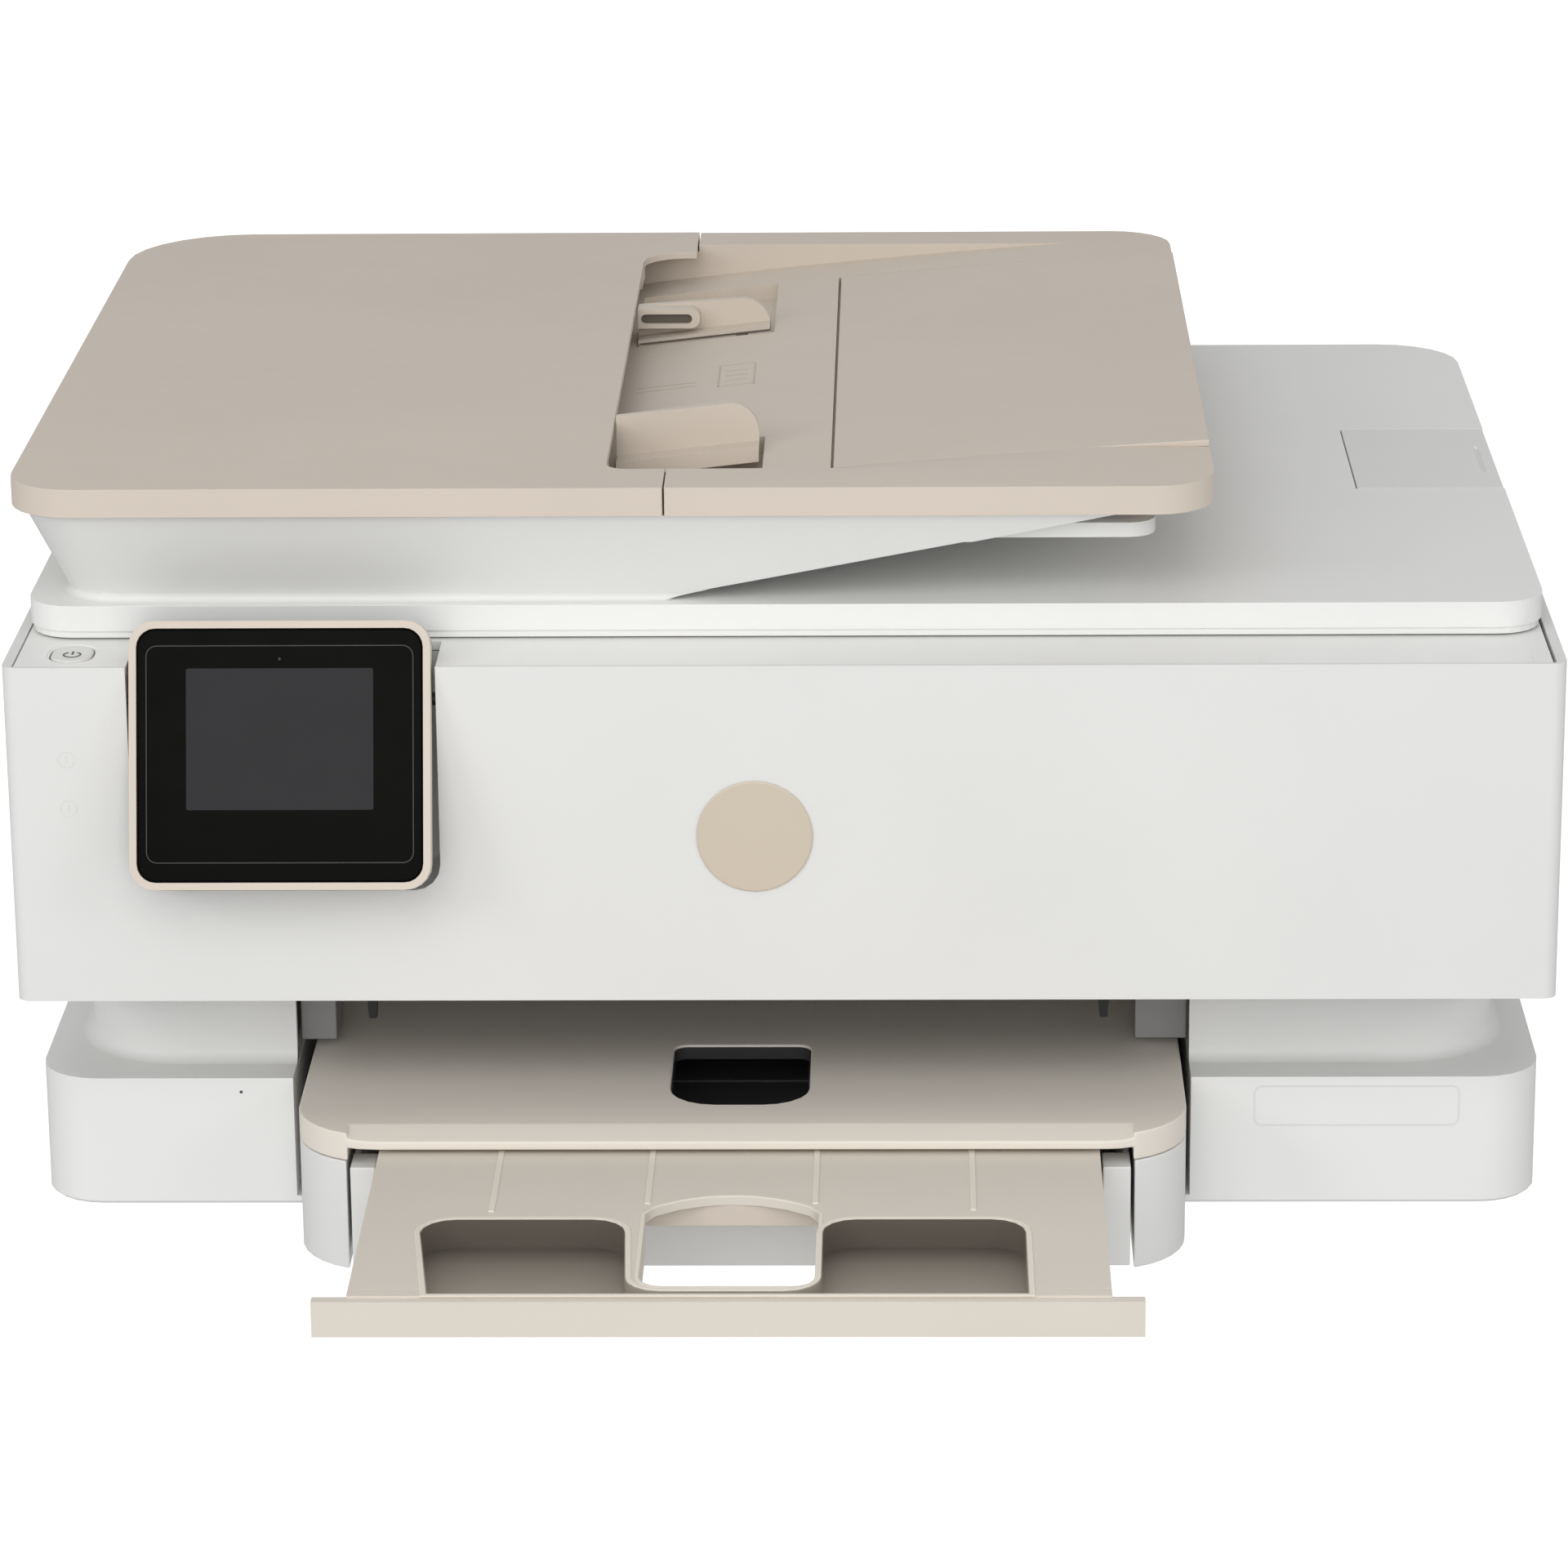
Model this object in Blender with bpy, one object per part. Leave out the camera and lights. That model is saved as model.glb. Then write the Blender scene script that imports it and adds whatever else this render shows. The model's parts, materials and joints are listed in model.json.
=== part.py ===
"""Inkjet printer with document feeder.

Lengths below are millimetres, turned into metres when a mesh is made. X runs to the right, Z up, and Y back
from the face of the front panel; every mesh is then shifted so that the origin is at the middle of the
whole printer, on the surface that it stands on.
"""

import math

import bmesh
import bpy
from mathutils import Matrix, Vector

MM = 0.001
GAP = 0.3  # clearance between two pieces that touch

# Overall sizes
HALF_WIDTH = 230.5
REAR = 360.0
EXTENDER_FRONT = -131.0
ORIGIN_Y = (REAR + EXTENDER_FRONT) / 2

# Heights
BASE_BOTTOM = 1.5
LEDGE_Z = 43.0
NECK_TOP = 76.0
PANEL_BOTTOM = 79.5
BODY_TOP = 184.0
DECK_TOP = 183.7
DECK_HALF_WIDTH = 227.0
SCANNER_FLOOR = 149.0
LID_BOTTOM = 184.3
LID_TOP = 194.4
FEEDER_BAND_BOTTOM = 224.3
FEEDER_TOP = 233.0

# Base
BASE_FRONT = 30.4
NECK_INSET_FRONT = 15.6
NECK_INSET_SIDE = 12.0
WALL = 2.5

# Paper bay, between the left and right blocks of the base
BAY_LEFT, BAY_RIGHT = -151.9, 123.3
TRAY_LEFT, TRAY_RIGHT = -147.4, 120.6
TRAY_FRONT = -21.0
DRAWER_LEFT, DRAWER_RIGHT = -130.1, 103.1
SHEET_CENTRE = -13.5
OUTPUT_TOP = 44.4

# Hinge axes as (y, z), or (x, z) for those that run front to back
ACCESS_AXIS = (352.0, 86.0)
LID_AXIS = (354.0, 190.0)
PANEL_AXIS = (5.0, 172.7)
DOOR_AXIS = (358.9, 10.6)
FLAP_AXIS = (128.7, 235.7)
COVER_AXIS = (-228.0, 225.3)
STOP_AXIS = (227.1, 194.8)
STOP_LEFT = 180.2

# Control panel, which leans back so that its face looks up at the user
PANEL_TILT = math.radians(18.0)
PANEL_LEFT, PANEL_RIGHT = -192.4, -103.4
PANEL_HALF_HEIGHT = 39.65
PANEL_DROP = 16.7
PANEL_REACH = 9.3
NOTCH_LEFT, NOTCH_RIGHT = -193.7, -102.2
NOTCH_BOTTOM, NOTCH_DEPTH = 114.5, 27.0

# Document feeder
FEEDER_LEFT, FEEDER_RIGHT = -230.5, 128.0
FEEDER_FRONT, FEEDER_REAR = 19.5, 358.5
COVER_SEAM = -35.0
THROAT_X = -53.0
POCKET_FRONT, POCKET_REAR = 41.3, 318.0
RIM_REAR = 340.0
FLAP_LEFT, FLAP_FRONT, FLAP_REAR = 14.6, 65.0, 317.0
FLAP_THICKNESS = 2.2
GUIDE_LEFT, GUIDE_RIGHT = -52.4, -8.5
GUIDE_MIDDLE, GUIDE_HALF_GAP = 179.0, 79.0
RACK_Z = (205.6, 209.6)
PINION_X, PINION_RADIUS = -30.5, 9.6
FEEDER_ROLLER = (-84.0, 212.0)

# Carriage drive
BELT_Y, BELT_Z = (236.0, 241.0), 110.0
PULLEY_X, PULLEY_RADIUS = 190.0, 6.0
CARRIAGE_X, CARRIAGE_HALF = 130.0, 48.0

# Paper feed, as (y, z) of each shaft
FEED_AXIS, FEED_RADIUS = (214.0, 72.0), 6.5
OUTPUT_AXIS, OUTPUT_RADIUS = (140.0, 72.0), 5.5
PINION_AXIS = (192.0, 55.5)
ARM_AXIS = (262.0, 58.0)
PICK_AXIS, PICK_RADIUS = (222.0, 17.4), 10.0

COLOURS = {
    "white": ((0.80, 0.81, 0.79), 0.42, 0.0),
    "light_grey": ((0.70, 0.71, 0.70), 0.45, 0.0),
    "beige": ((0.60, 0.54, 0.48), 0.45, 0.0),
    "black": ((0.012, 0.012, 0.014), 0.35, 0.0),
    "glass_black": ((0.006, 0.006, 0.008), 0.06, 0.0),
    "display": ((0.035, 0.035, 0.037), 0.25, 0.0),
    "glass": ((0.75, 0.82, 0.80), 0.04, 0.0),
    "dark_grey": ((0.10, 0.10, 0.105), 0.5, 0.0),
    "rubber": ((0.03, 0.03, 0.03), 0.85, 0.0),
    "steel": ((0.62, 0.63, 0.65), 0.3, 1.0),
    "foam": ((0.85, 0.85, 0.83), 0.9, 0.0),
    "board_green": ((0.03, 0.20, 0.09), 0.5, 0.0),
    "cyan": ((0.05, 0.30, 0.55), 0.4, 0.0),
    "nylon": ((0.75, 0.73, 0.66), 0.5, 0.0),
}


def clear_scene():
    for obj in list(bpy.data.objects):
        bpy.data.objects.remove(obj, do_unlink=True)


def material(name):
    found = bpy.data.materials.get(name)
    if found:
        return found
    colour, roughness, metallic = COLOURS[name]
    made = bpy.data.materials.new(name)
    made.use_nodes = True
    shader = made.node_tree.nodes["Principled BSDF"]
    shader.inputs["Base Color"].default_value = (*colour, 1.0)
    shader.inputs["Roughness"].default_value = roughness
    shader.inputs["Metallic"].default_value = metallic
    made.diffuse_color = (*colour, 1.0)
    return made


# Outlines: lists of 2D points, counter-clockwise


def arc(centre, radius, start, end, steps):
    """Points on an arc, with its angles in degrees."""
    angles = [math.radians(start + (end - start) * i / steps) for i in range(steps + 1)]
    return [(centre[0] + radius * math.cos(a), centre[1] + radius * math.sin(a)) for a in angles]


def rounded(x0, x1, y0, y1, radii, steps=5):
    """A rectangle with its corners rounded: front left, front right, rear right, rear left."""
    front_left, front_right, rear_right, rear_left = radii
    points = arc((x0 + front_left, y0 + front_left), front_left, 180, 270, steps)
    points += arc((x1 - front_right, y0 + front_right), front_right, 270, 360, steps)
    points += arc((x1 - rear_right, y1 - rear_right), rear_right, 0, 90, steps)
    points += arc((x0 + rear_left, y1 - rear_left), rear_left, 90, 180, steps)
    return points


def rectangle(x0, x1, y0, y1):
    return [(x0, y0), (x1, y0), (x1, y1), (x0, y1)]


def circle(centre, radius, steps=20):
    return arc(centre, radius, 0, 360 - 360 / steps, steps - 1)


def stadium(centre_a, centre_b, radius, steps=8):
    """The outline round two circles that stand side by side along the first axis."""
    return arc(centre_b, radius, -90, 90, steps) + arc(centre_a, radius, 90, 270, steps)


def gear(centre, tip, root, teeth):
    """A gear's outline, with four points to a tooth."""
    pitch = 2 * math.pi / teeth
    points = []
    for tooth in range(teeth):
        for share, radius in ((-0.30, root), (-0.16, tip), (0.16, tip), (0.30, root)):
            angle = (tooth + share) * pitch
            points.append((centre[0] + radius * math.cos(angle), centre[1] + radius * math.sin(angle)))
    return points


# Solids: each function gives a bmesh in millimetres

AXES = {
    "z": lambda u, v, w: (u, v, w),  # outline in XY
    "y": lambda u, v, w: (u, w, v),  # outline in XZ
    "x": lambda u, v, w: (w, u, v),  # outline in YZ
}


def loft(sections):
    """A solid through rings of points that all have the same count; the ends are capped."""
    bm = bmesh.new()
    rings = [[bm.verts.new(point) for point in ring] for ring in sections]
    count = len(rings[0])
    for low, high in zip(rings, rings[1:]):
        for i in range(count):
            j = (i + 1) % count
            bm.faces.new((low[i], low[j], high[j], high[i]))
    bm.faces.new(list(reversed(rings[0])))
    bm.faces.new(rings[-1])
    bmesh.ops.remove_doubles(bm, verts=bm.verts, dist=1e-4)
    bmesh.ops.recalc_face_normals(bm, faces=bm.faces)
    return bm


def prism(outline, low, high, axis="z"):
    place = AXES[axis]
    return loft([[place(u, v, w) for u, v in outline] for w in (low, high)])


def box(x0, x1, y0, y1, z0, z1):
    return prism(rectangle(x0, x1, y0, y1), z0, z1)


def stack(levels, axis="z"):
    """A solid through outlines at rising heights: levels holds pairs of an outline and a height."""
    place = AXES[axis]
    return loft([[place(u, v, w) for u, v in outline] for outline, w in levels])


def turned(axis_centre, steps_of_profile, axis="x", sides=20):
    """A round piece: the profile is a list of (position along the axis, radius)."""
    return stack([(circle(axis_centre, radius, sides), at) for at, radius in steps_of_profile], axis)


# Objects


def to_object(name, bm, colour, origin):
    """A node, with its origin at a point in millimetres."""
    shift = Vector((-origin[0], -origin[1], -origin[2]))
    bmesh.ops.translate(bm, verts=bm.verts, vec=shift)
    bmesh.ops.scale(bm, verts=bm.verts, vec=(MM, MM, MM))
    mesh = bpy.data.meshes.new(name)
    bm.to_mesh(mesh)
    bm.free()
    mesh.materials.append(material(colour))
    mesh.shade_smooth()
    mesh.set_sharp_from_angle(angle=math.radians(35))
    obj = bpy.data.objects.new(name, mesh)
    obj.location = (origin[0] * MM, (origin[1] - ORIGIN_Y) * MM, origin[2] * MM)
    bpy.context.scene.collection.objects.link(obj)
    return obj


def join(*solids):
    return [("UNION", solid) for solid in solids]


def cut(*solids):
    return [("DIFFERENCE", solid) for solid in solids]


def keep(*solids):
    return [("INTERSECT", solid) for solid in solids]


def node(name, bm, colour, steps=(), origin=(0, 0, 0)):
    """A named piece: its first solid, then the Boolean steps that shape it, in order."""
    obj = to_object(name, bm, colour, origin)
    for number, (operation, solid) in enumerate(steps, 1):
        tool = to_object(f"{name}_tool_{number}", solid, colour, origin)
        tool.hide_render = True
        tool.display_type = "WIRE"
        modifier = obj.modifiers.new(f"{operation.lower()}_{number}", "BOOLEAN")
        modifier.operation = operation
        modifier.object = tool


# The deck of the feeder rises to the right and levels out at its end


def deck_z(x):
    run = x + 54.0
    return 219.3 + 0.121 * run - 0.00019 * run * run


def deck_line(x0, x1, steps, drop=0.0):
    xs = [x0 + (x1 - x0) * i / steps for i in range(steps + 1)]
    return [(x, deck_z(x) - drop) for x in xs]


def above_deck(x0, x1, steps, drop, y0, y1):
    """Everything over the deck between two places, for a cut."""
    outline = deck_line(x0, x1, steps, drop) + [(x1, 245.0), (x0, 245.0)]
    return prism(outline, y0, y1, "y")


# Base and what is fixed to it


def base_level(inset, front, height, radius_front, radius_rear=20.0):
    outline = rounded(
        -HALF_WIDTH + inset, HALF_WIDTH - inset, BASE_FRONT + front, REAR - inset,
        (radius_front, radius_front, radius_rear, radius_rear), 6,
    )
    return outline, height


def make_base():
    side, front = NECK_INSET_SIDE, NECK_INSET_FRONT
    shell = stack([
        base_level(0.8, 0.8, BASE_BOTTOM, 18.0),
        base_level(0.0, 0.0, BASE_BOTTOM + 1.0, 18.0),
        base_level(0.0, 0.0, LEDGE_Z, 18.0),
        base_level(side, front, LEDGE_Z, 30.0),
        base_level(side, front, NECK_TOP, 30.0),
    ])
    hollow = stack([
        base_level(WALL, WALL, 4.2, 16.0),
        base_level(WALL, WALL, LEDGE_Z - WALL, 16.0),
        base_level(side + WALL, front + WALL, LEDGE_Z - WALL, 28.0),
        base_level(side + WALL, front + WALL, NECK_TOP + 5, 28.0),
    ])
    lugs = [box(x, x + 6, 346.5, 357, 60, 91) for x in (-196, 190)]
    rails = [
        box(BAY_LEFT - 2.5, BAY_LEFT, BASE_FRONT + 1, 300, 3.5, 41),
        box(BAY_RIGHT, BAY_RIGHT + 2.5, BASE_FRONT + 1, 300, 3.5, 41),
    ]
    cuts = [
        box(BAY_LEFT, BAY_RIGHT, 20, 52, 4.2, 90),
        box(-120, 100, 350, 370, 7.0, 40.5),
        box(-201, -171, 350, 370, 13.5, 34.5),
        prism(circle(ACCESS_AXIS, 2.4, 16), -210, 210, "x"),
    ]
    steps = cut(hollow) + join(*lugs, *rails) + cut(*cuts)
    node("base_housing", shell, "white", steps)


def make_feet():
    places = [(-195, 60), (195, 60), (-195, 330), (195, 330)]
    for number, (x, y) in enumerate(places, 1):
        profile = [(0, 8.5), (0.4, 9.0), (BASE_BOTTOM - GAP, 9.0)]
        node(f"foot_{number}", turned((x, y), profile, "z"), "rubber")


def make_bay_frame():
    """The dark frame over the output bay: two posts that hang from a cross bar."""
    left, right = BAY_LEFT + GAP, BAY_RIGHT - GAP
    node(
        "bay_frame", box(left, right, 56, 78, 70, NECK_TOP), "dark_grey",
        join(box(left, -140.6, 56, 78, 46, 72), box(107.0, right, 56, 78, 46, 72)),
    )


def tray_corner(x0, x1, rear):
    """The plan of the output tray: the front corners are large arcs."""
    return (
        arc((x0 + 25, TRAY_FRONT + 25), 25, 180, 270, 8)
        + arc((x1 - 25, TRAY_FRONT + 25), 25, 270, 360, 8)
        + [(x1, rear), (x0, rear)]
    )


def make_output_tray():
    rear = 186.0
    over_lip = [(-40, 39), (-20.99, 42.2), (-11.5, OUTPUT_TOP + 0.01), (-11.5, 50), (-40, 50)]
    bevel = prism(over_lip, DRAWER_LEFT - 0.7, DRAWER_RIGHT + 0.8, "x")
    node(
        "output_tray", prism(tray_corner(TRAY_LEFT, TRAY_RIGHT, rear), 35.7, OUTPUT_TOP), "beige",
        cut(
            box(DRAWER_LEFT - 0.7, DRAWER_RIGHT + 0.8, -30, rear + 10, 30, 39.6),
            bevel,
            prism(rounded(-35.5, 6.8, 4.4, 55, (14, 14, 4, 4), 5), 30, 60),
        ),
    )


def make_cheeks():
    """The white fillers under the output tray's corners."""
    top, bottom = 35.4, 0.8
    plan = tray_corner(TRAY_LEFT, TRAY_RIGHT, 70)
    spans = (("left", TRAY_LEFT - 1, DRAWER_LEFT - 1.2), ("right", DRAWER_RIGHT + 1.2, TRAY_RIGHT + 1))
    for side, x0, x1 in spans:
        over_base = box(-200, 200, BASE_FRONT - 0.6, 90, -5, 4.6)
        steps = keep(box(x0, x1, -30, 80, bottom - 5, top + 5)) + cut(over_base)
        node(f"tray_cheek_{side}", prism(plan, bottom, top), "white", steps)


def make_rail():
    """A folded steel rail that the carriage hangs on, with a leg at each end."""
    shaft_holes = [prism(circle((x, BELT_Z), 2.6, 12), 245, 260, "y") for x in (-PULLEY_X, PULLEY_X)]
    node(
        "carriage_rail", box(-208, 208, 252, 254, 86, 122), "steel",
        join(
            box(-208, -205, 240, 266, 4.6, 122),
            box(205, 208, 240, 266, 4.6, 122),
            box(-207, 207, 253, 266, 86, 88),
        ) + cut(*shaft_holes),
    )


def make_belt():
    outer = stadium((-PULLEY_X, BELT_Z), (PULLEY_X, BELT_Z), PULLEY_RADIUS + 1.3)
    inner = stadium((-PULLEY_X, BELT_Z), (PULLEY_X, BELT_Z), PULLEY_RADIUS + 0.4)
    node("drive_belt", prism(outer, *BELT_Y, "y"), "rubber", cut(prism(inner, 230, 250, "y")))


def make_pulleys():
    for name, x in (("drive_pulley", PULLEY_X), ("idler_pulley", -PULLEY_X)):
        flange = BELT_Y[1]
        profile = [
            (flange - 5.0, PULLEY_RADIUS), (flange, PULLEY_RADIUS), (flange, 1.6), (258.0, 1.6),
        ]
        node(name, turned((x, BELT_Z), profile, "y", 18), "nylon", origin=(x, 0, BELT_Z))


def make_motors():
    motor = turned((PULLEY_X, BELT_Z), [(260, 12), (261, 14), (286, 14), (287, 12)], "y", 24)
    node("carriage_motor", motor, "steel")
    shaft_y, shaft_z = PINION_AXIS
    feed = turned((shaft_y, shaft_z), [(-194, 10), (-193, 12.5), (-168, 12.5), (-167, 10)], "x", 24)
    node("feed_motor", feed, "steel", cut(prism(circle(PINION_AXIS, 2.4, 12), -220, -188, "x")))
    pinion = prism(gear(PINION_AXIS, 4.6, 3.4, 10), -209.5, -203.4, "x")
    shaft = prism(circle(PINION_AXIS, 1.8, 12), -204, -189, "x")
    node("motor_pinion", pinion, "nylon", join(shaft), origin=(0, *PINION_AXIS))


def make_platen():
    """The ribbed bed that the sheet runs over, on two legs that also carry the roller shafts."""
    legs = []
    for x in (-200.0, 196.5):
        legs.append(box(x, x + 3.5, 132, 222, 56, 80))
        legs.append(box(x, x + 3.5, 150, 205, 4.6, 60))
    ribs = [box(x, x + 1.5, 152, 203, 77, 79) for x in range(-180, 70, 25)]
    beams = [box(-198, 198, 150, 205, 56, 58), box(70, 76, 150, 205, 56, 76)]
    node(
        "platen", box(-198, 76, 150, 205, 74, 77.5), "dark_grey",
        join(*beams, *legs, *ribs) + cut(
            prism(circle(FEED_AXIS, 4.4, 16), -220, 220, "x"),
            prism(circle(OUTPUT_AXIS, 3.4, 16), -220, 220, "x"),
            box(-202, -165, 178, 206, 42, 69.5),
        ),
    )


def sleeved(half, shaft, sleeve, bands):
    """The profile of a shaft with wide rubber sleeves."""
    profile = [(-half, shaft)]
    for low, high in bands:
        profile += [(low, shaft), (low, sleeve), (high, sleeve), (high, shaft)]
    return profile + [(half, shaft)]


def make_rollers():
    feed = sleeved(203.0, 4.0, FEED_RADIUS, [(-150, -110), (-60, 30), (80, 120)])
    node("feed_roller", turned(FEED_AXIS, feed, "x", 18), "rubber", origin=(0, *FEED_AXIS))
    wheel = prism(gear(FEED_AXIS, 22.0, 20.3, 28), -209.5, -203.3, "x")
    node("feed_gear", wheel, "nylon", origin=(0, *FEED_AXIS))
    out = sleeved(202.0, 3.0, OUTPUT_RADIUS, [(-125 + 55 * i, -113 + 55 * i) for i in range(5)])
    node("output_roller", turned(OUTPUT_AXIS, out, "x", 16), "rubber", origin=(0, *OUTPUT_AXIS))


def make_pick():
    arm_y, arm_z = ARM_AXIS
    pick_y, pick_z = PICK_AXIS
    left, right = SHEET_CENTRE - 18, SHEET_CENTRE + 18
    slope = math.atan2(arm_z - pick_z, arm_y - pick_y)
    side = Vector((-math.sin(slope), math.cos(slope))) * 4.5
    outline = [
        (pick_y - side.x, pick_z - side.y), (arm_y - side.x, arm_z - side.y),
        (arm_y + side.x, arm_z + side.y), (pick_y + side.x, pick_z + side.y),
    ]
    plates = [prism(outline, x, x + 3, "x") for x in (left, right - 3)]
    knuckle = prism(circle(ARM_AXIS, 6, 16), left, right, "x")
    hubs = [prism(circle(PICK_AXIS, 4.7, 14), x, x + 3, "x") for x in (left, right - 3)]
    node(
        "pick_arm", knuckle, "black",
        join(*plates, *hubs) + cut(prism(circle(PICK_AXIS, 2.4, 12), left - 5, right + 5, "x")),
        origin=(0, *ARM_AXIS),
    )
    profile = [
        (left - 1, 2.0), (left + 5, 2.0), (left + 5, PICK_RADIUS),
        (right - 5, PICK_RADIUS), (right - 5, 2.0), (right + 1, 2.0),
    ]
    node("pick_roller", turned(PICK_AXIS, profile, "x", 20), "rubber", origin=(0, *PICK_AXIS))


def make_electrics():
    caps = [box(x, x + 38, 158, 198, 74, 90) for x in (90, 134)]
    node(
        "service_station", box(86, 176, 154, 202, 58.6, 78), "dark_grey", cut(*caps), origin=(131, 178, 60)
    )
    chips = [box(140, 158, 90, 108, 9, 12), box(165, 186, 140, 160, 9, 16), box(140, 150, 60, 84, 9, 15)]
    node("main_board", box(132, 192, 50, 230, 8, 9.6), "board_green", join(*chips))
    node("power_supply", box(-214, -162, 70, 140, 4.8, 36), "black")
    node(
        "power_inlet", box(-200.6, -171.4, 344, 359.8, 13.9, 34.1), "black",
        cut(prism(stadium((-190, 24), (-182, 24), 4.6, 6), 350, 365, "y")),
    )


def make_rear_door():
    node(
        "rear_access_door", box(-119.6, 99.6, 357.9, 359.9, 8.4, 40.1), "white",
        join(*[box(x, x + 1.6, 350, 358.4, 14, 38) for x in range(-100, 100, 40)]),
        origin=(0, *DOOR_AXIS),
    )


# Paper tray


def make_paper_tray():
    left, right = DRAWER_LEFT, DRAWER_RIGHT
    floor = box(left, right, -20, 300, 5.0, 7.0)
    front = box(left, right, TRAY_FRONT, -18, 2.2, 34)
    sides = [box(left, left + 2, -20, 300, 5, 33), box(right - 2, right, -20, 300, 5, 33)]
    rear_lips = [box(*span, 298, 300, 5, 10) for span in ((left, -38), (11, right))]
    flanges = [box(left, -122.6, -20, -9, 32, 34), box(94.8, right, -20, -9, 32, 34)]
    node(
        "paper_tray", floor, "white",
        join(front, *sides, *flanges, *rear_lips) + cut(box(-122.6, 94.8, -30, -10, 26.2, 50)),
    )


def make_tray_guides():
    for side, outward in (("left", -1), ("right", 1)):
        x = SHEET_CENTRE + outward * 105
        face = sorted((x, x + outward * 1.8))
        foot = sorted((x + outward * 0.5, x + outward * 9.0))
        steps = join(box(*foot, 70, 140, 7.4, 9.4))
        fence = box(*face, 60, 150, 7.4, 25.5)
        node(f"tray_guide_{side}", fence, "light_grey", steps, origin=(x, 100, 8))
    node(
        "tray_length_guide", box(-45, 18, 1.5, 3.5, 7.4, 25.5), "light_grey",
        join(box(-35, 8, -12, 2, 7.4, 9.4)), origin=(SHEET_CENTRE, 3, 8),
    )


def hand_hole(grow):
    """The opening in the extender: round corners in front and an arch at the back."""
    left, right, front, shoulder = -39.7 - grow, 10.7 + grow, -121.3 - grow, -68.0
    arch_radius = 33.4
    corner = 7.0 + grow
    return (
        arc((left + corner, front + corner), corner, 180, 270, 4)
        + arc((right - corner, front + corner), corner, 270, 360, 4)
        + [(right, shoulder)]
        + arc(((left + right) / 2, -87.7), arch_radius + grow, 48, 132, 6)
        + [(left, shoulder)]
    )


def extender_pocket(grow):
    """The sunken part of the extender: two lobes, joined in front of the hand hole."""
    front, back, radius = -126.8, -71.5, 10.0
    rim_left, rim_right, rim_front = -43.5, 11.9, -124.4
    lobe_centre = back - radius
    out, within = radius + grow, radius - grow
    return (
        [(-99.0 - grow, front - grow), (70.6 + grow, front - grow)]
        + arc((60.6, lobe_centre), out, 0, 90, 4)
        + arc((rim_right + radius, lobe_centre), out, 90, 180, 4)
        + arc((rim_right - radius, rim_front + radius), within, 0, -90, 4)
        + arc((rim_left + radius, rim_front + radius), within, -90, -180, 4)
        + arc((rim_left - 1.5 - radius, lobe_centre), out, 0, 90, 4)
        + arc((-94.3, lobe_centre), out, 90, 180, 4)
    )


def make_extender():
    plate = box(-121.5, 93.9, -128, -3, 36.4, 38.2)
    walls = [
        box(-121.5, -119.7, -128, -3, 27.2, 37), box(92.1, 93.9, -128, -3, 27.2, 37),
        box(-131.3, 103.1, EXTENDER_FRONT, -127.2, 26.9, 37.6),
        prism(extender_pocket(1.6), 27.2, 37),
        prism(hand_hole(1.5), 27.6, 37.2),
    ]
    node(
        "output_extender", plate, "beige",
        join(*walls) + cut(prism(extender_pocket(0.0), 28.8, 50), prism(hand_hole(0.0), 20, 50)),
    )


# Print carriage


def make_carriage():
    x0, x1 = CARRIAGE_X - CARRIAGE_HALF, CARRIAGE_X + CARRIAGE_HALF
    node(
        "print_carriage", box(x0, x1, 152, 234.5, 84, 120), "black",
        join(
            box(x0, x1, 228, 234.5, 84, 129),
            box(x0 + 20, x1 - 20, 233, 258.4, 124.5, 129),
            box(x0 + 20, x1 - 20, 256, 258.4, 112, 128),
        ) + cut(
            box(x0 + 4, CARRIAGE_X - 1.2, 156, 222, 88, 140),
            box(CARRIAGE_X + 1.2, x1 - 4, 156, 222, 88, 140),
        ),
        origin=(CARRIAGE_X, 200, 100),
    )
    halves = (("color", x0, CARRIAGE_X, "cyan"), ("black", CARRIAGE_X, x1, "dark_grey"))
    for ink, low, high, colour in halves:
        left, right = low + 4.6 - 2.8 * (low > x0), high - 4.6 + 2.8 * (high < x1)
        front_step = cut(box(left - 2, right + 2, 150, 166, 112, 130))
        node(f"cartridge_{ink}", box(left, right, 156.6, 221.4, 88.6, 122), colour, front_step)
        grip = join(box(left + 10, right - 10, 190, 194, 122.6, 127.5))
        latch = box(left + 1.4, right - 1.4, 192, 226, 124.0, 126.0)
        node(f"latch_{ink}", latch, "dark_grey", grip, origin=(left, 226.5, 125.0))


# Upper unit: housing, scanner and control panel


def body_plan(inset, front=0.0, rear=0.0):
    return rounded(
        -HALF_WIDTH + inset, HALF_WIDTH - inset, front, REAR - rear,
        (max(4 - inset, 0.8), max(4 - inset, 0.8), max(20 - inset, 4), max(20 - inset, 4)), 5,
    )


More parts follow.
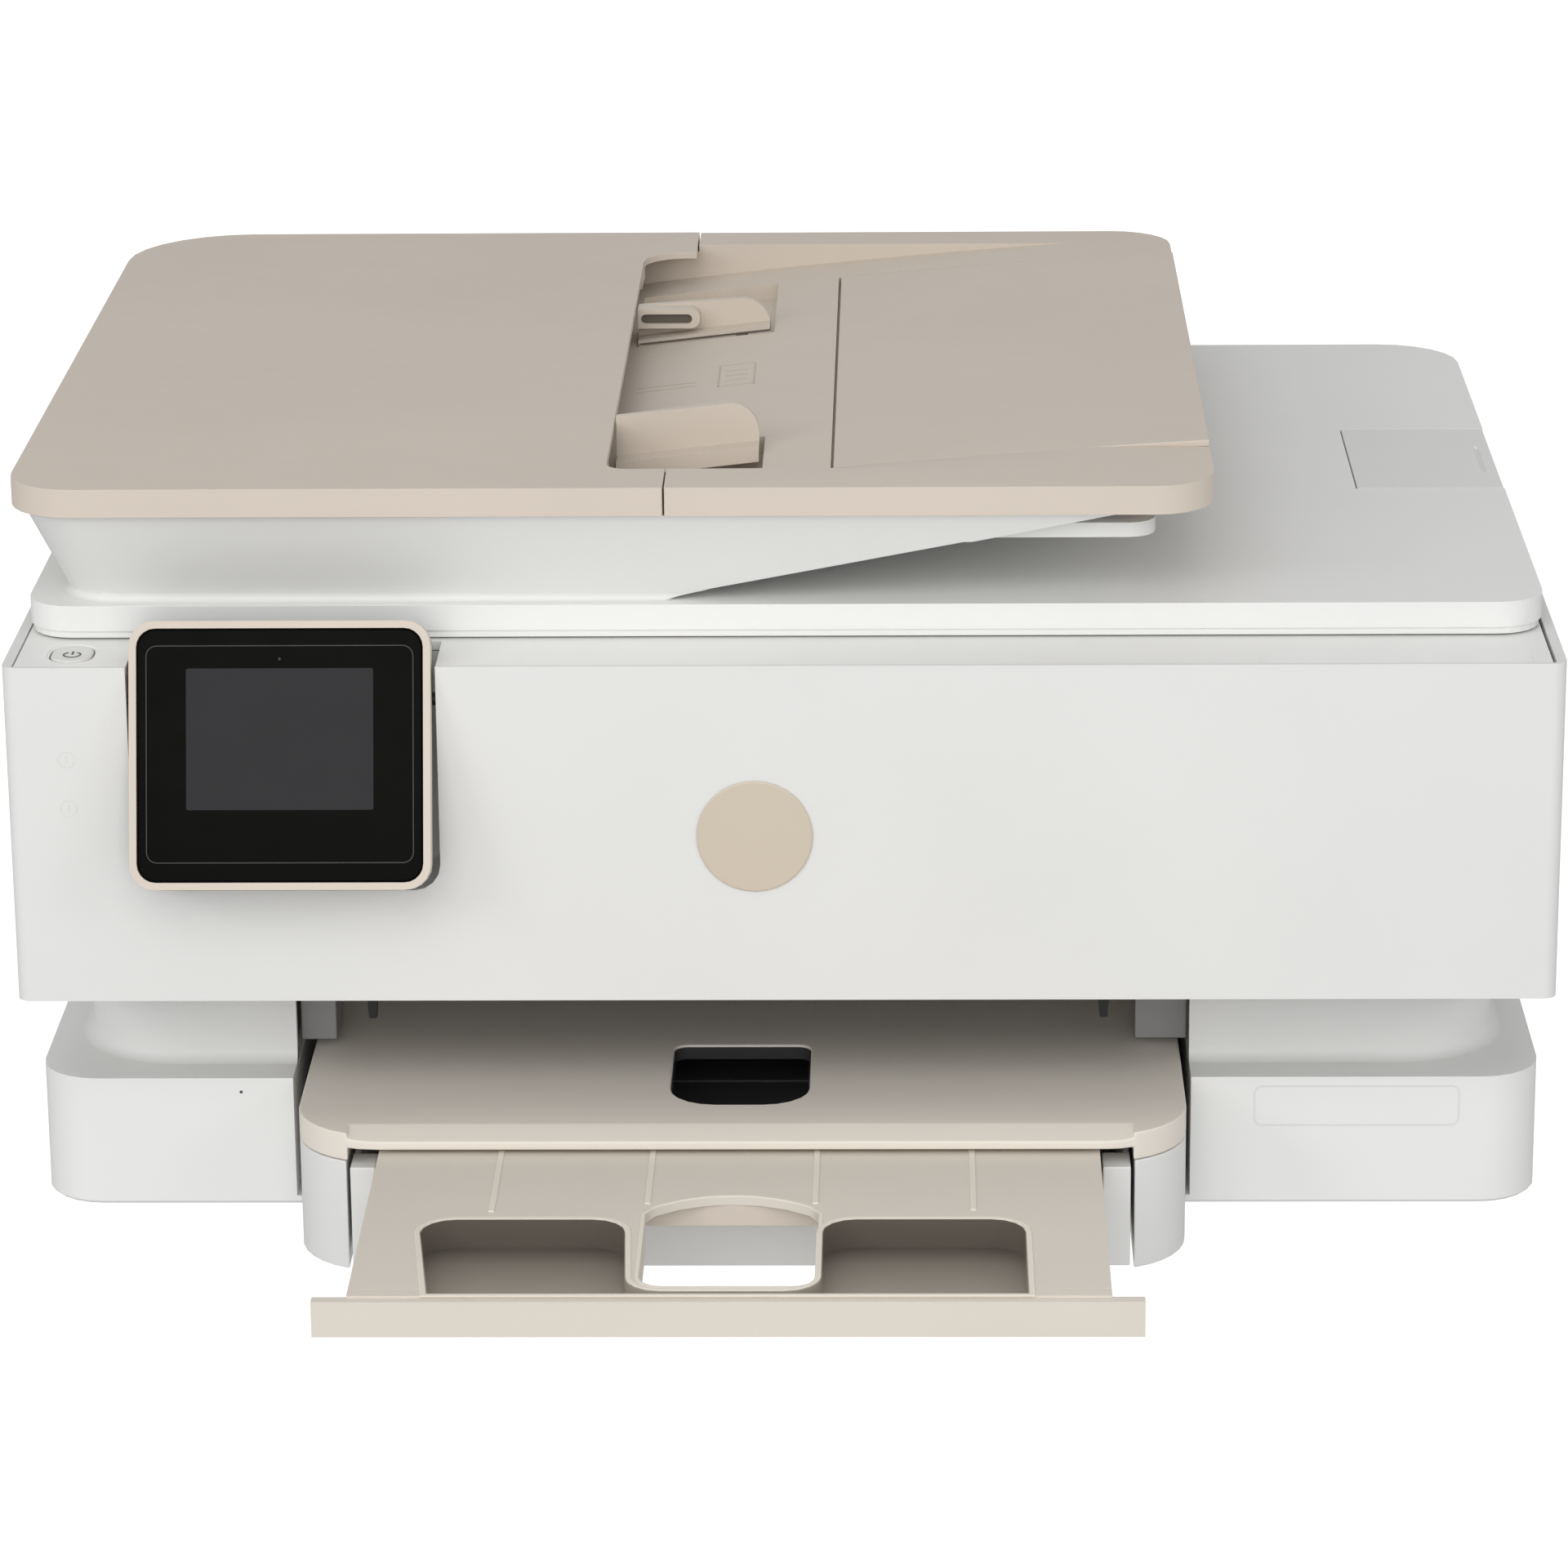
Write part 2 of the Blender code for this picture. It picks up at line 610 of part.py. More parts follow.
def make_upper():
    shell = prism(body_plan(0), PANEL_BOTTOM, BODY_TOP)
    first_cuts = [
        prism(body_plan(WALL, 3.0, 3.0), 70, SCANNER_FLOOR - 3),
        box(-223.5, -197.5, 3, 28.5, 140, 190),
        box(-98.5, 223.5, 3, 28.5, 140, 190),
        box(-223.5, 223.5, 31, 343, SCANNER_FLOOR, 190),
        box(-DECK_HALF_WIDTH - 0.4, DECK_HALF_WIDTH + 0.4, 1.5, 345.8, 180.6, 190),
        box(-214, 214, 346.5, 357, 140, 181),
    ]
    block = box(-196.6, -99.4, 2, 29.8, 112, 147)
    ears = [box(x, x + 5.4, 346.5, 358.5, PANEL_BOTTOM + 0.5, 98) for x in (-202.2, 196.8)]
    lugs = []
    for x in (-165, 84):
        lugs.append(prism(circle(LID_AXIS, 4.4, 16), x, x + 6, "x"))
        lugs.append(box(x, x + 6, 350.4, 358.4, 176, 190))
    notch = prism(rounded(NOTCH_LEFT, NOTCH_RIGHT, NOTCH_BOTTOM, 200, (8, 8, 1, 1), 4), -5, NOTCH_DEPTH, "y")
    last_cuts = [
        notch,
        prism(circle(PANEL_AXIS, 2.4, 14), -195.9, -100.0, "x"),
        prism(circle(ACCESS_AXIS, 2.4, 16), -206, 206, "x"),
        prism(circle(LID_AXIS, 2.4, 16), -170, 170, "x"),
        box(-197, -189, 344, 370, 70, 97),
        box(189, 196.5, 344, 370, 70, 97),
    ]
    steps = cut(*first_cuts) + join(block, *ears, *lugs) + cut(*last_cuts)
    node("upper_housing", shell, "white", steps, origin=(0, *ACCESS_AXIS))
    rod = prism(circle(ACCESS_AXIS, 2.0, 16), -203.5, 203.5, "x")
    node("access_hinge_rod", rod, "steel")


def make_scanner():
    glass = (-190.0, 122.0, 75.0, 301.0)
    lip = prism([(-5, 182.0), (2, 182.0), (17, DECK_TOP + 0.01), (17, 190), (-5, 190)], 140.6, 221, "x")
    button = rounded(-217.9, -204.5, 6.8, 24.2, (6.6, 6.6, 6.6, 6.6), 5)
    node(
        "scanner_deck", box(-DECK_HALF_WIDTH, DECK_HALF_WIDTH, 1.9, 345.3, 181.0, DECK_TOP), "light_grey",
        cut(
            box(glass[0] - 0.4, glass[1] + 0.4, glass[2] - 0.4, glass[3] + 0.4, 170, 190),
            box(NOTCH_LEFT, NOTCH_RIGHT, -5, NOTCH_DEPTH + 0.3, 170, 190),
            prism(button, 170, 190),
            lip,
        ),
    )
    node("scanner_glass", box(*glass, 181.1, 183.5), "glass")
    node("scan_head", box(-198, -178, 70, 306, 162, 179.6), "dark_grey", origin=(-188, 188, 170))
    cap = rounded(-217.3, -205.1, 7.4, 23.6, (6.0, 6.0, 6.0, 6.0), 5)
    node("power_button", prism(cap, 181.3, 183.9), "light_grey", origin=(-211.2, 15.5, 182))
    node("badge", turned((-8.6, 131.3), [(-0.9, 16.6), (-0.5, 17.3), (-GAP, 17.3)], "y", 32), "beige")


def leaned(bm):
    """Turns a solid, made with the control panel upright, about the panel's pivot to its resting tilt."""
    y, z = PANEL_AXIS
    pivot = Vector((0, y, z))
    bmesh.ops.rotate(bm, verts=bm.verts, cent=pivot, matrix=Matrix.Rotation(-PANEL_TILT, 3, "X"))
    return bm


def panel_plate(inset, radius, y0, y1):
    middle = PANEL_AXIS[1] - PANEL_DROP
    half = PANEL_HALF_HEIGHT - inset
    outline = rounded(PANEL_LEFT + inset, PANEL_RIGHT - inset, middle - half, middle + half, (radius,) * 4, 5)
    return leaned(prism(outline, y0, y1, "y"))


def make_control_panel():
    pivot = (0, *PANEL_AXIS)
    face = PANEL_AXIS[0] - PANEL_REACH
    middle = PANEL_AXIS[1] - PANEL_DROP
    opening = cut(panel_plate(2.2, 5.6, face - 3, face + 9))
    node("panel_bezel", panel_plate(0, 7.5, face, face + 6.2), "beige", opening, origin=pivot)
    pins = leaned(prism(circle(PANEL_AXIS, 2.0, 14), -195.2, -100.6, "x"))
    node("panel_housing", panel_plate(0.5, 7.0, face + 6.5, face + 13.8), "black", join(pins), origin=pivot)
    node("panel_glass", panel_plate(2.5, 5.3, face + 0.5, face + 2.6), "glass_black", origin=pivot)
    screen = leaned(box(-176.0, -120.0, face + 2.9, face + 6.2, middle - 17, middle + 26.5))
    node("panel_display", screen, "display", origin=pivot)


# Lid and document feeder


def make_lid():
    plan = rounded(-227, 227, 29, 349, (14, 14, 26, 26), 6)
    pad_recess = box(-203, 135, 62, 314, 180, 192.0)
    knuckles = [box(x, x + 6, 340, 357.6, 186.2, 194) for x in (-158.5, 77.5)]
    pivot = (0, *LID_AXIS)
    steps = cut(pad_recess) + join(*knuckles) + cut(
        prism(circle(LID_AXIS, 2.4, 16), -170, 170, "x"),
        box(STOP_LEFT - 0.4, 230, 157.6, 232.4, 191.4, 200),
    )
    node("scan_lid", prism(plan, LID_BOTTOM, LID_TOP), "white", steps, origin=pivot)
    node("lid_hinge_rod", prism(circle(LID_AXIS, 2.0, 16), -168, 93, "x"), "steel")
    node("lid_pad", box(-200, 132, 65, 311, 184.2, 191.6), "foam")
    stop = box(STOP_LEFT, 226.7, 158, 232, 191.9, LID_TOP)
    node("document_stop", stop, "white", origin=(STOP_AXIS[0], 195, STOP_AXIS[1]))


def feeder_level(height, inset, right):
    """A level of the feeder's base, whose front and left sides lean in and whose right side leans out."""
    share = (FEEDER_BAND_BOTTOM - height) / 29.0
    left = FEEDER_LEFT + 4.0 + 11.0 * share + inset
    front = FEEDER_FRONT + 2.0 + 13.0 * share + inset
    rear = 352.0 - 8.0 * share - inset
    return rounded(left, right, front, rear, (16, 2, 2, 28), 5), height


def make_feeder_base():
    bottom, top = LID_TOP + 0.3, FEEDER_BAND_BOTTOM - 0.4
    slab = rounded(40, 110.8, 30, 345, (1, 8, 8, 1), 4)
    inside = ((bottom + 2.6, -44), (214.5, 47), (230, 47))
    hollow = stack([feeder_level(height, 2.5, right) for height, right in inside])
    bearings = [box(-91, -77, 30.4, 38.4, 206, 218), box(-91, -77, 336, 346.5, 206, 218)]
    bore = prism(circle(FEEDER_ROLLER, 3.0, 16), 31.8, 343.2, "y")
    steps = join(prism(slab, 214.5, 219)) + cut(hollow) + join(*bearings) + cut(bore)
    levels = [feeder_level(bottom, 0, -36), feeder_level(214.5, 0, 56), feeder_level(top, 0, 56)]
    node("feeder_base", stack(levels), "white", steps)


def deck_slab(x0, x1, y0, y1, top, bottom):
    """A slab that follows the deck: top and bottom are depths below it."""
    return prism(deck_line(x0, x1, 6, bottom) + deck_line(x1, x0, 6, top), y0, y1, "y")


def make_feeder_tray():
    plan = rounded(COVER_SEAM + 0.2, FEEDER_RIGHT, FEEDER_FRONT, FEEDER_REAR, (0.6, 18, 20, 0.6), 6)
    ramp_front = [(x, POCKET_FRONT, max(z, FEEDER_TOP)) for x, z in deck_line(-6.5, 131, 8)]
    ramp_rear = [(x, FLAP_FRONT, z) for x, z in deck_line(-6.5, 131, 8)]
    over_ramp = [line + [(131, line[0][1], 245), (-6.5, line[0][1], 245)] for line in (ramp_front, ramp_rear)]
    rear_wall = box(-65.9, 25, RIM_REAR + 0.01, RIM_REAR + 1.9, 217, 230.4)
    wells = []
    pockets = []
    for y0, y1, rack_x in ((POCKET_FRONT + 0.6, 111, -44.4), (247, POCKET_REAR, -20.4)):
        wells.append(deck_slab(THROAT_X - 2, -5.5, y0 - 1.5, y1 + 1.5, 0.5, 7.5))
        pockets.append(deck_slab(THROAT_X, -7.0, y0, y1, -20, 5.5))
        pockets.append(box(rack_x, rack_x + 4.0, y0, y1, 200, 222))
    steps = (
        cut(above_deck(COVER_SEAM - 2, -6.0, 4, 0.0, POCKET_FRONT, RIM_REAR))
        + cut(above_deck(-6.5, 95, 8, 0.0, FLAP_FRONT - 0.3, RIM_REAR), loft(over_ramp))
        + join(deck_slab(-66, 40, POCKET_FRONT + 0.3, RIM_REAR + 2, 0.0, 4.6), rear_wall)
        + cut(above_deck(FLAP_LEFT - 0.8, 135, 8, FLAP_THICKNESS + 0.4, FLAP_FRONT - 0.3, FLAP_REAR + 0.3))
        + join(*wells)
        + cut(*pockets)
    )
    node("feeder_tray", prism(plan, FEEDER_BAND_BOTTOM, FEEDER_TOP), "beige", steps)


def make_feeder_flap():
    outline = deck_line(FLAP_LEFT, FEEDER_RIGHT, 8, FLAP_THICKNESS) + deck_line(FEEDER_RIGHT, FLAP_LEFT, 8)
    flap = prism(outline, FLAP_FRONT, FLAP_REAR, "y")
    node("feeder_flap", flap, "beige", origin=(FLAP_AXIS[0], 190, FLAP_AXIS[1]))


def make_feeder_cover():
    plan = rounded(FEEDER_LEFT, COVER_SEAM - 0.3, FEEDER_FRONT, FEEDER_REAR + 1, (20, 0.6, 0.6, 40), 7)
    wall = 2.2
    inner = rounded(
        FEEDER_LEFT + wall, COVER_SEAM - 0.3 - wall, FEEDER_FRONT + wall, FEEDER_REAR + 1 - wall,
        (20 - wall, 1, 1, 40 - wall), 7,
    )
    opening = rounded(THROAT_X, 20, POCKET_FRONT, 328, (6, 1, 1, 14), 4)
    edge = rounded(THROAT_X - 2.2, COVER_SEAM - 0.3, POCKET_FRONT - 2.2, 316, (8, 0.6, 0.6, 1), 4)
    steps = (
        cut(prism(inner, 220, 230.8))
        + join(prism(edge, 226.5, 232))
        + cut(prism(opening, 220, 240), box(-120, -20, 60, 300, 220, 230.4))
        + cut(box(-60, -30, 315.5, 345, 220, 230.8))
    )
    origin = (COVER_AXIS[0], 190, COVER_AXIS[1])
    node("feeder_cover", prism(plan, FEEDER_BAND_BOTTOM, FEEDER_TOP), "beige", steps, origin=origin)


def make_feeder_guides():
    """Two fences that slide in the pockets of the deck, each with a rack that a pinion joins."""
    fence_left, fence_right = deck_z(GUIDE_LEFT), deck_z(GUIDE_RIGHT)
    guides = (("guide_front", -1, 15.0, 15.0), ("guide_rear", 1, 11.4, 9.6))
    for name, out, left_height, right_height in guides:
        face = GUIDE_MIDDLE + out * GUIDE_HALF_GAP

        def across(inner, outer):
            return sorted((face + out * inner, face + out * outer))

        fence = [
            (GUIDE_LEFT, fence_left - 1.5), (GUIDE_RIGHT, fence_right - 1.5),
            *arc((GUIDE_RIGHT - 9, fence_right + right_height - 9.6), 9, 0, 84, 6),
            (GUIDE_LEFT, fence_left + left_height),
        ]
        skirt = [
            (GUIDE_LEFT, fence_left - 2.3), (GUIDE_RIGHT, fence_right - 2.3),
            (GUIDE_RIGHT, fence_right + 2.6), (GUIDE_LEFT, fence_left + 2.6),
        ]
        foot = [
            (GUIDE_LEFT, fence_left + 0.4), (GUIDE_RIGHT, fence_right + 0.4),
            (GUIDE_RIGHT, fence_right + 1.4), (GUIDE_LEFT, fence_left + 1.4),
        ]
        rack_x = PINION_X + out * 12.1
        neck_x = (rack_x - 1.5, rack_x + 1.5)
        rack_reach = across(-125, 4)
        joins = [
            prism(skirt, *across(0.5, 10.5), "y"),
            prism(foot, *across(-8, 0.5), "y"),
            box(*neck_x, *across(0.6, 5), 206, 222),
            box(*neck_x, *rack_reach, *RACK_Z),
        ]
        if out > 0:
            joins.append(box(GUIDE_LEFT, -31.8, *across(-6, 0.5), 224.6, 231.2))
        node(name, prism(fence, *across(0, 3), "y"), "beige", join(*joins), origin=(0, face, 0))
    pinion = prism(gear((PINION_X, GUIDE_MIDDLE), PINION_RADIUS, 8.2, 14), *RACK_Z)
    hub = prism(circle((PINION_X, GUIDE_MIDDLE), 3.0, 12), 204.5, 214)
    node("guide_pinion", pinion, "nylon", join(hub), origin=(PINION_X, GUIDE_MIDDLE, 207))


def make_feeder_roller():
    x, z = FEEDER_ROLLER
    profile = [(32.5, 2.6), (110, 2.6), (110, 8.5), (250, 8.5), (250, 2.6), (342.5, 2.6)]
    node("feeder_roller", turned(FEEDER_ROLLER, profile, "y", 20), "rubber", origin=(x, 180, z))


def main():
    clear_scene()
    make_base()
    make_feet()
    make_bay_frame()
    make_output_tray()
    make_cheeks()
    make_rail()
    make_belt()
    make_pulleys()
    make_motors()
    make_platen()
    make_rollers()
    make_pick()
    make_electrics()
    make_rear_door()
    make_paper_tray()
    make_tray_guides()
    make_extender()
    make_carriage()
    make_upper()
    make_scanner()
    make_control_panel()
    make_lid()
    make_feeder_base()
    make_feeder_tray()
    make_feeder_flap()
    make_feeder_cover()
    make_feeder_guides()
    make_feeder_roller()


main()
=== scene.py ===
"""The looks of the inkjet printer: shells get rounded edges, surface detail and a finished material."""

import json
import math

import bmesh
import bpy
from mathutils import Matrix, Vector


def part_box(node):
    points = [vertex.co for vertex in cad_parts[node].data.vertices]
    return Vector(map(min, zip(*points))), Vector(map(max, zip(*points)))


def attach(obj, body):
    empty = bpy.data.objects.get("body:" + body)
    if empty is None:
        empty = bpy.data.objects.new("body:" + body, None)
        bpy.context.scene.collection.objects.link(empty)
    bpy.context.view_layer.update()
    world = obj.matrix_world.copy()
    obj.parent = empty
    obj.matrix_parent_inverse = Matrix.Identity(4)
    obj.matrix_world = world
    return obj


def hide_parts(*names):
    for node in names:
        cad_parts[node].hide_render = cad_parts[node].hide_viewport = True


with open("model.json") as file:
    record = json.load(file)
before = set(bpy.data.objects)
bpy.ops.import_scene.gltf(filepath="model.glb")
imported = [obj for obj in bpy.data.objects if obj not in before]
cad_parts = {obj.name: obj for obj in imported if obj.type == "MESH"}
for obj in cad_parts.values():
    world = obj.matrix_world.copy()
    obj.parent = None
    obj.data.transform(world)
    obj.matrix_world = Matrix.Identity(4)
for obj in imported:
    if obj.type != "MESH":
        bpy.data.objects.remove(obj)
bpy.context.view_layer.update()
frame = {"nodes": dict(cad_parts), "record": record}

MM = 0.001
NODES = frame["nodes"]
NODE_BODY = {n: b for b, members in frame["record"]["behaviour"]["bodies"].items() for n in members}
NODE_SLOT = {s["node"]: s["material_slot"] for s in frame["record"]["subparts"]}

# Lengths below are millimetres, measured as on the CAD: Y runs back from the face of the front panel.
FRONT_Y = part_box("upper_housing")[0].y


def place(x, y, z):
    """A point in millimetres, as metres in the frame."""
    return Vector((x * MM, FRONT_Y + y * MM, z * MM))


def edges_of(node):
    """A node's box in millimetres: lowest x, y, z, then highest x, y, z."""
    low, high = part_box(node)
    shift = Vector((0, FRONT_Y, 0))
    return [*((low - shift) / MM), *((high - shift) / MM)]


# ---------------------------------------------------------------- materials


class Shader:
    """A Principled material whose colour, roughness and bump come from procedural textures."""

    def __init__(self, name, colour, roughness, **sockets):
        self.material = bpy.data.materials.new(name)
        self.material.use_nodes = True
        self.tree = self.material.node_tree
        self.main = self.tree.nodes["Principled BSDF"]
        self.main.inputs["Base Color"].default_value = (*colour, 1.0)
        self.main.inputs["Roughness"].default_value = roughness
        for socket, value in sockets.items():
            self.main.inputs[socket.replace("_", " ")].default_value = value
        self.colour = colour
        self.coords = self.tree.nodes.new("ShaderNodeTexCoord").outputs["Object"]

    def add(self, kind, **inputs):
        made = self.tree.nodes.new(kind)
        for socket, value in inputs.items():
            if isinstance(value, bpy.types.NodeSocket):
                self.tree.links.new(value, made.inputs[socket])
            else:
                made.inputs[socket].default_value = value
        return made

    def stretched(self, x, y, z):
        mapping = self.add("ShaderNodeMapping", Vector=self.coords)
        mapping.inputs["Scale"].default_value = (x, y, z)
        return mapping.outputs["Vector"]

    def noise(self, scale, detail, coords=None):
        texture = self.add("ShaderNodeTexNoise", Vector=coords or self.coords, Scale=scale, Detail=detail)
        return texture.outputs["Fac"]

    def ramp(self, value, low, high, low_colour, high_colour):
        ramp = self.add("ShaderNodeValToRGB", Fac=value)
        for stop, at, colour in zip(ramp.color_ramp.elements, (low, high), (low_colour, high_colour)):
            stop.position = at
            stop.color = (*colour, 1.0)
        return ramp.outputs["Color"]

    def spread(self, value, low, high):
        """Maps a texture's usual range onto low to high."""
        mapped = self.add("ShaderNodeMapRange", Value=value)
        mapped.inputs["From Min"].default_value = 0.3
        mapped.inputs["From Max"].default_value = 0.7
        mapped.inputs["To Min"].default_value = low
        mapped.inputs["To Max"].default_value = high
        return mapped.outputs["Result"]

    def drive(self, socket, value):
        self.tree.links.new(value, self.main.inputs[socket])
        return self

    def mottle(self, scale, amount):
        """Lets the colour vary a little over the surface."""
        dark = tuple(c * (1 - amount) for c in self.colour)
        light = tuple(min(1.0, c * (1 + amount)) for c in self.colour)
        return self.drive("Base Color", self.ramp(self.noise(scale, 3.0), 0.3, 0.7, dark, light))

    def bump(self, value, depth, strength):
        bump = self.add("ShaderNodeBump", Height=value, Distance=depth, Strength=strength)
        return self.drive("Normal", bump.outputs["Normal"])


def moulded(name, colour, roughness, grain=2600.0, depth=0.000012, amount=0.012, **sockets):
    """Injection-moulded plastic with a fine spark texture."""
    shader = Shader(name, colour, roughness, **sockets)
    shader.mottle(14.0, amount)
    shader.drive("Roughness", shader.spread(shader.noise(90.0, 4.0), roughness - 0.03, roughness + 0.04))
    shader.bump(shader.noise(grain, 3.0), depth, 0.35)
    return shader.material


def metal(name, colour, roughness, direction):
    """Rolled or drawn steel, with fine scratches along one axis."""
    shader = Shader(name, colour, roughness, Metallic=1.0)
    lines = shader.noise(900.0, 2.0, shader.stretched(*direction))
    shader.drive("Roughness", shader.spread(lines, roughness - 0.07, roughness + 0.1))
    shader.bump(lines, 0.00002, 0.3)
    return shader.material


def rubber(name, colour):
    shader = Shader(name, colour, 0.78)
    shader.mottle(60.0, 0.15)
    shader.bump(shader.noise(3200.0, 2.0), 0.00005, 0.6)
    return shader.material


def circuit_board():
    shader = Shader("board", (0.02, 0.16, 0.07), 0.42, Coat_Weight=0.3)
    tracks = shader.add("ShaderNodeTexBrick", Vector=shader.coords, Scale=90.0)
    tracks.inputs["Color1"].default_value = (0.015, 0.14, 0.06, 1)
    tracks.inputs["Color2"].default_value = (0.02, 0.17, 0.075, 1)
    tracks.inputs["Mortar"].default_value = (0.05, 0.28, 0.12, 1)
    tracks.inputs["Mortar Size"].default_value = 0.03
    shader.drive("Base Color", tracks.outputs["Color"])
    shader.bump(tracks.outputs["Fac"], 0.00004, 0.5)
    return shader.material


def foam_sheet():
    shader = Shader("foam", (0.86, 0.86, 0.84), 0.85, Sheen_Weight=0.2)
    cells = shader.add("ShaderNodeTexVoronoi", Vector=shader.coords, Scale=1500.0)
    shader.mottle(30.0, 0.02)
    shader.bump(cells.outputs["Distance"], 0.00006, 0.4)
    return shader.material


def clear_glass():
    shader = Shader("scan_glass", (0.90, 0.96, 0.94), 0.02, Transmission_Weight=1.0, IOR=1.52)
    shader.drive("Roughness", shader.spread(shader.noise(12.0, 3.0), 0.01, 0.035))
    return shader.material


def painted_shade_floor(name, near, far, near_y, far_y):
    """Plastic in a recess, whose colour changes from its front to its rear: painted shade, a ramp from the
    near colour to a darker far colour where the recess lies in shade.
    """
    shader = Shader(name, near, 0.5)
    parts = shader.add("ShaderNodeSeparateXYZ", Vector=shader.coords)
    along = shader.add("ShaderNodeMapRange", Value=parts.outputs["Y"])
    along.inputs["From Min"].default_value = place(0, near_y, 0).y
    along.inputs["From Max"].default_value = place(0, far_y, 0).y
    shader.drive("Base Color", shader.ramp(along.outputs["Result"], 0.0, 1.0, near, far))
    shader.bump(shader.noise(2600.0, 3.0), 0.000012, 0.35)
    return shader.material


def make_materials():
    soft = {"Specular_IOR_Level": 0.35}
    return {
        "white_shell": moulded("white_shell", (0.77, 0.77, 0.755), 0.42, **soft),
        "white_lid": moulded("white_lid", (0.83, 0.83, 0.815), 0.42, **soft),
        "deck_grey": moulded("deck_grey", (0.86, 0.86, 0.845), 0.34, 2600.0, 0.000004),
        "beige_shell": moulded("beige_shell", (0.655, 0.58, 0.50), 0.44, amount=0.015, **soft),
        "beige_tray": moulded("beige_tray", (0.71, 0.655, 0.58), 0.44, amount=0.015, **soft),
        "output_tray": moulded("output_tray", (0.80, 0.745, 0.665), 0.44, amount=0.015, **soft),
        "badge": moulded("badge", (0.62, 0.54, 0.435), 0.40, amount=0.02, **soft),
        "mark": moulded("mark", (0.55, 0.48, 0.41), 0.5, **soft),
        # A lighter copy of the tray beige: painted highlight for the extender's rims and ribs.
        "beige_painted_highlight": moulded("beige_painted_highlight", (0.80, 0.74, 0.65), 0.4, **soft),
        "shell_mark": moulded("shell_mark", (0.75, 0.75, 0.735), 0.5, **soft),
        "black_plastic": moulded("black_plastic", (0.010, 0.010, 0.011), 0.38, **soft),
        "panel_glass": moulded(
            "panel_glass", (0.0025, 0.0025, 0.002), 0.12, 60.0, 0.000002, Specular_IOR_Level=0.02
        ),
        # A grey a little lighter than the glass: the painted bevel highlight on the panel and the sensor dot.
        "panel_line": moulded("panel_line", (0.022, 0.022, 0.022), 0.3, Specular_IOR_Level=0.3),
        "display": moulded(
            "display", (0.034, 0.034, 0.036), 0.32, 4200.0, 0.000003, Specular_IOR_Level=0.04
        ),
        "scan_glass": clear_glass(),
        "dark_plastic": moulded("dark_plastic", (0.060, 0.058, 0.056), 0.5),
        "bay_grey": moulded("bay_grey", (0.30, 0.30, 0.30), 0.5, **soft),
        "shadow_black": moulded("shadow_black", (0.05, 0.05, 0.053), 0.14),
        # Painted shade: the recess colour darkens from the extender pocket's front to its rear, where shade
        # falls.
        "pocket": painted_shade_floor("pocket", (0.42, 0.37, 0.31), (0.115, 0.10, 0.08), -124, -72),
        "rubber": rubber("rubber", (0.022, 0.022, 0.023)),
        "steel": metal("steel", (0.60, 0.61, 0.62), 0.3, (0.03, 1, 1)),
        "foam": foam_sheet(),
        "board": circuit_board(),
        "ink_blue": moulded("ink_blue", (0.02, 0.16, 0.36), 0.4),
        "nylon": moulded("nylon", (0.72, 0.70, 0.62), 0.5),
    }


# ---------------------------------------------------------------- mesh helpers


def arc(centre, radius, start, end, steps):
    angles = [math.radians(start + (end - start) * i / steps) for i in range(steps + 1)]
    return [(centre[0] + radius * math.cos(a), centre[1] + radius * math.sin(a)) for a in angles]


def rounded(x0, x1, y0, y1, radii, steps=6):
    """A rectangle with round corners: one radius, or front left, front right, rear right and rear left."""
    a, b, c, d = radii if isinstance(radii, tuple) else (radii,) * 4
    return (
        arc((x0 + a, y0 + a), a, 180, 270, steps)
        + arc((x1 - b, y0 + b), b, 270, 360, steps)
        + arc((x1 - c, y1 - c), c, 0, 90, steps)
        + arc((x0 + d, y1 - d), d, 90, 180, steps)
    )


def circle(centre, radius, steps=32):
    return arc(centre, radius, 0, 360 - 360 / steps, steps - 1)


AXES = {
    "z": lambda u, v, w: (u, v, w),
    "y": lambda u, v, w: (u, w, v),
    "x": lambda u, v, w: (w, u, v),
}


def loft(rings):
    """A solid through rings of points in millimetres that all have the same count."""
    bm = bmesh.new()
    made = [[bm.verts.new(place(*point)) for point in ring] for ring in rings]
    count = len(made[0])
    for low, high in zip(made, made[1:]):
        for i in range(count):
            j = (i + 1) % count
            bm.faces.new((low[i], low[j], high[j], high[i]))
    bm.faces.new(list(reversed(made[0])))
    bm.faces.new(made[-1])
    bmesh.ops.recalc_face_normals(bm, faces=bm.faces)
    return bm


def prism(outline, low, high, axis="z"):
    put = AXES[axis]
    return loft([[put(u, v, w) for u, v in outline] for w in (low, high)])


def box(x0, x1, y0, y1, z0, z1):
    return prism([(x0, y0), (x1, y0), (x1, y1), (x0, y1)], z0, z1)


def band(outer, inner, low, high, axis="z"):
    """A closed ring between two outlines that have the same count of points."""
    put = AXES[axis]
    bm = bmesh.new()
    corners = ((outer, low), (outer, high), (inner, high), (inner, low))
    rings = [[bm.verts.new(place(*put(u, v, w))) for u, v in outline] for outline, w in corners]
    count = len(outer)
    for ring, following in zip(rings, rings[1:] + rings[:1]):
        for i in range(count):
            j = (i + 1) % count
            bm.faces.new((ring[i], ring[j], following[j], following[i]))
    bmesh.ops.recalc_face_normals(bm, faces=bm.faces)
    return bm


def merged(*solids):
    """Several separate solids as one mesh."""
    whole = bmesh.new()
    for solid in solids:
        mesh = bpy.data.meshes.new("part")
        solid.to_mesh(mesh)
        solid.free()
        whole.from_mesh(mesh)
        bpy.data.meshes.remove(mesh)
    return whole


def as_object(name, bm):
    mesh = bpy.data.meshes.new(name)
    bm.to_mesh(mesh)
    bm.free()
    obj = bpy.data.objects.new(name, mesh)
    bpy.context.scene.collection.objects.link(obj)
    return obj


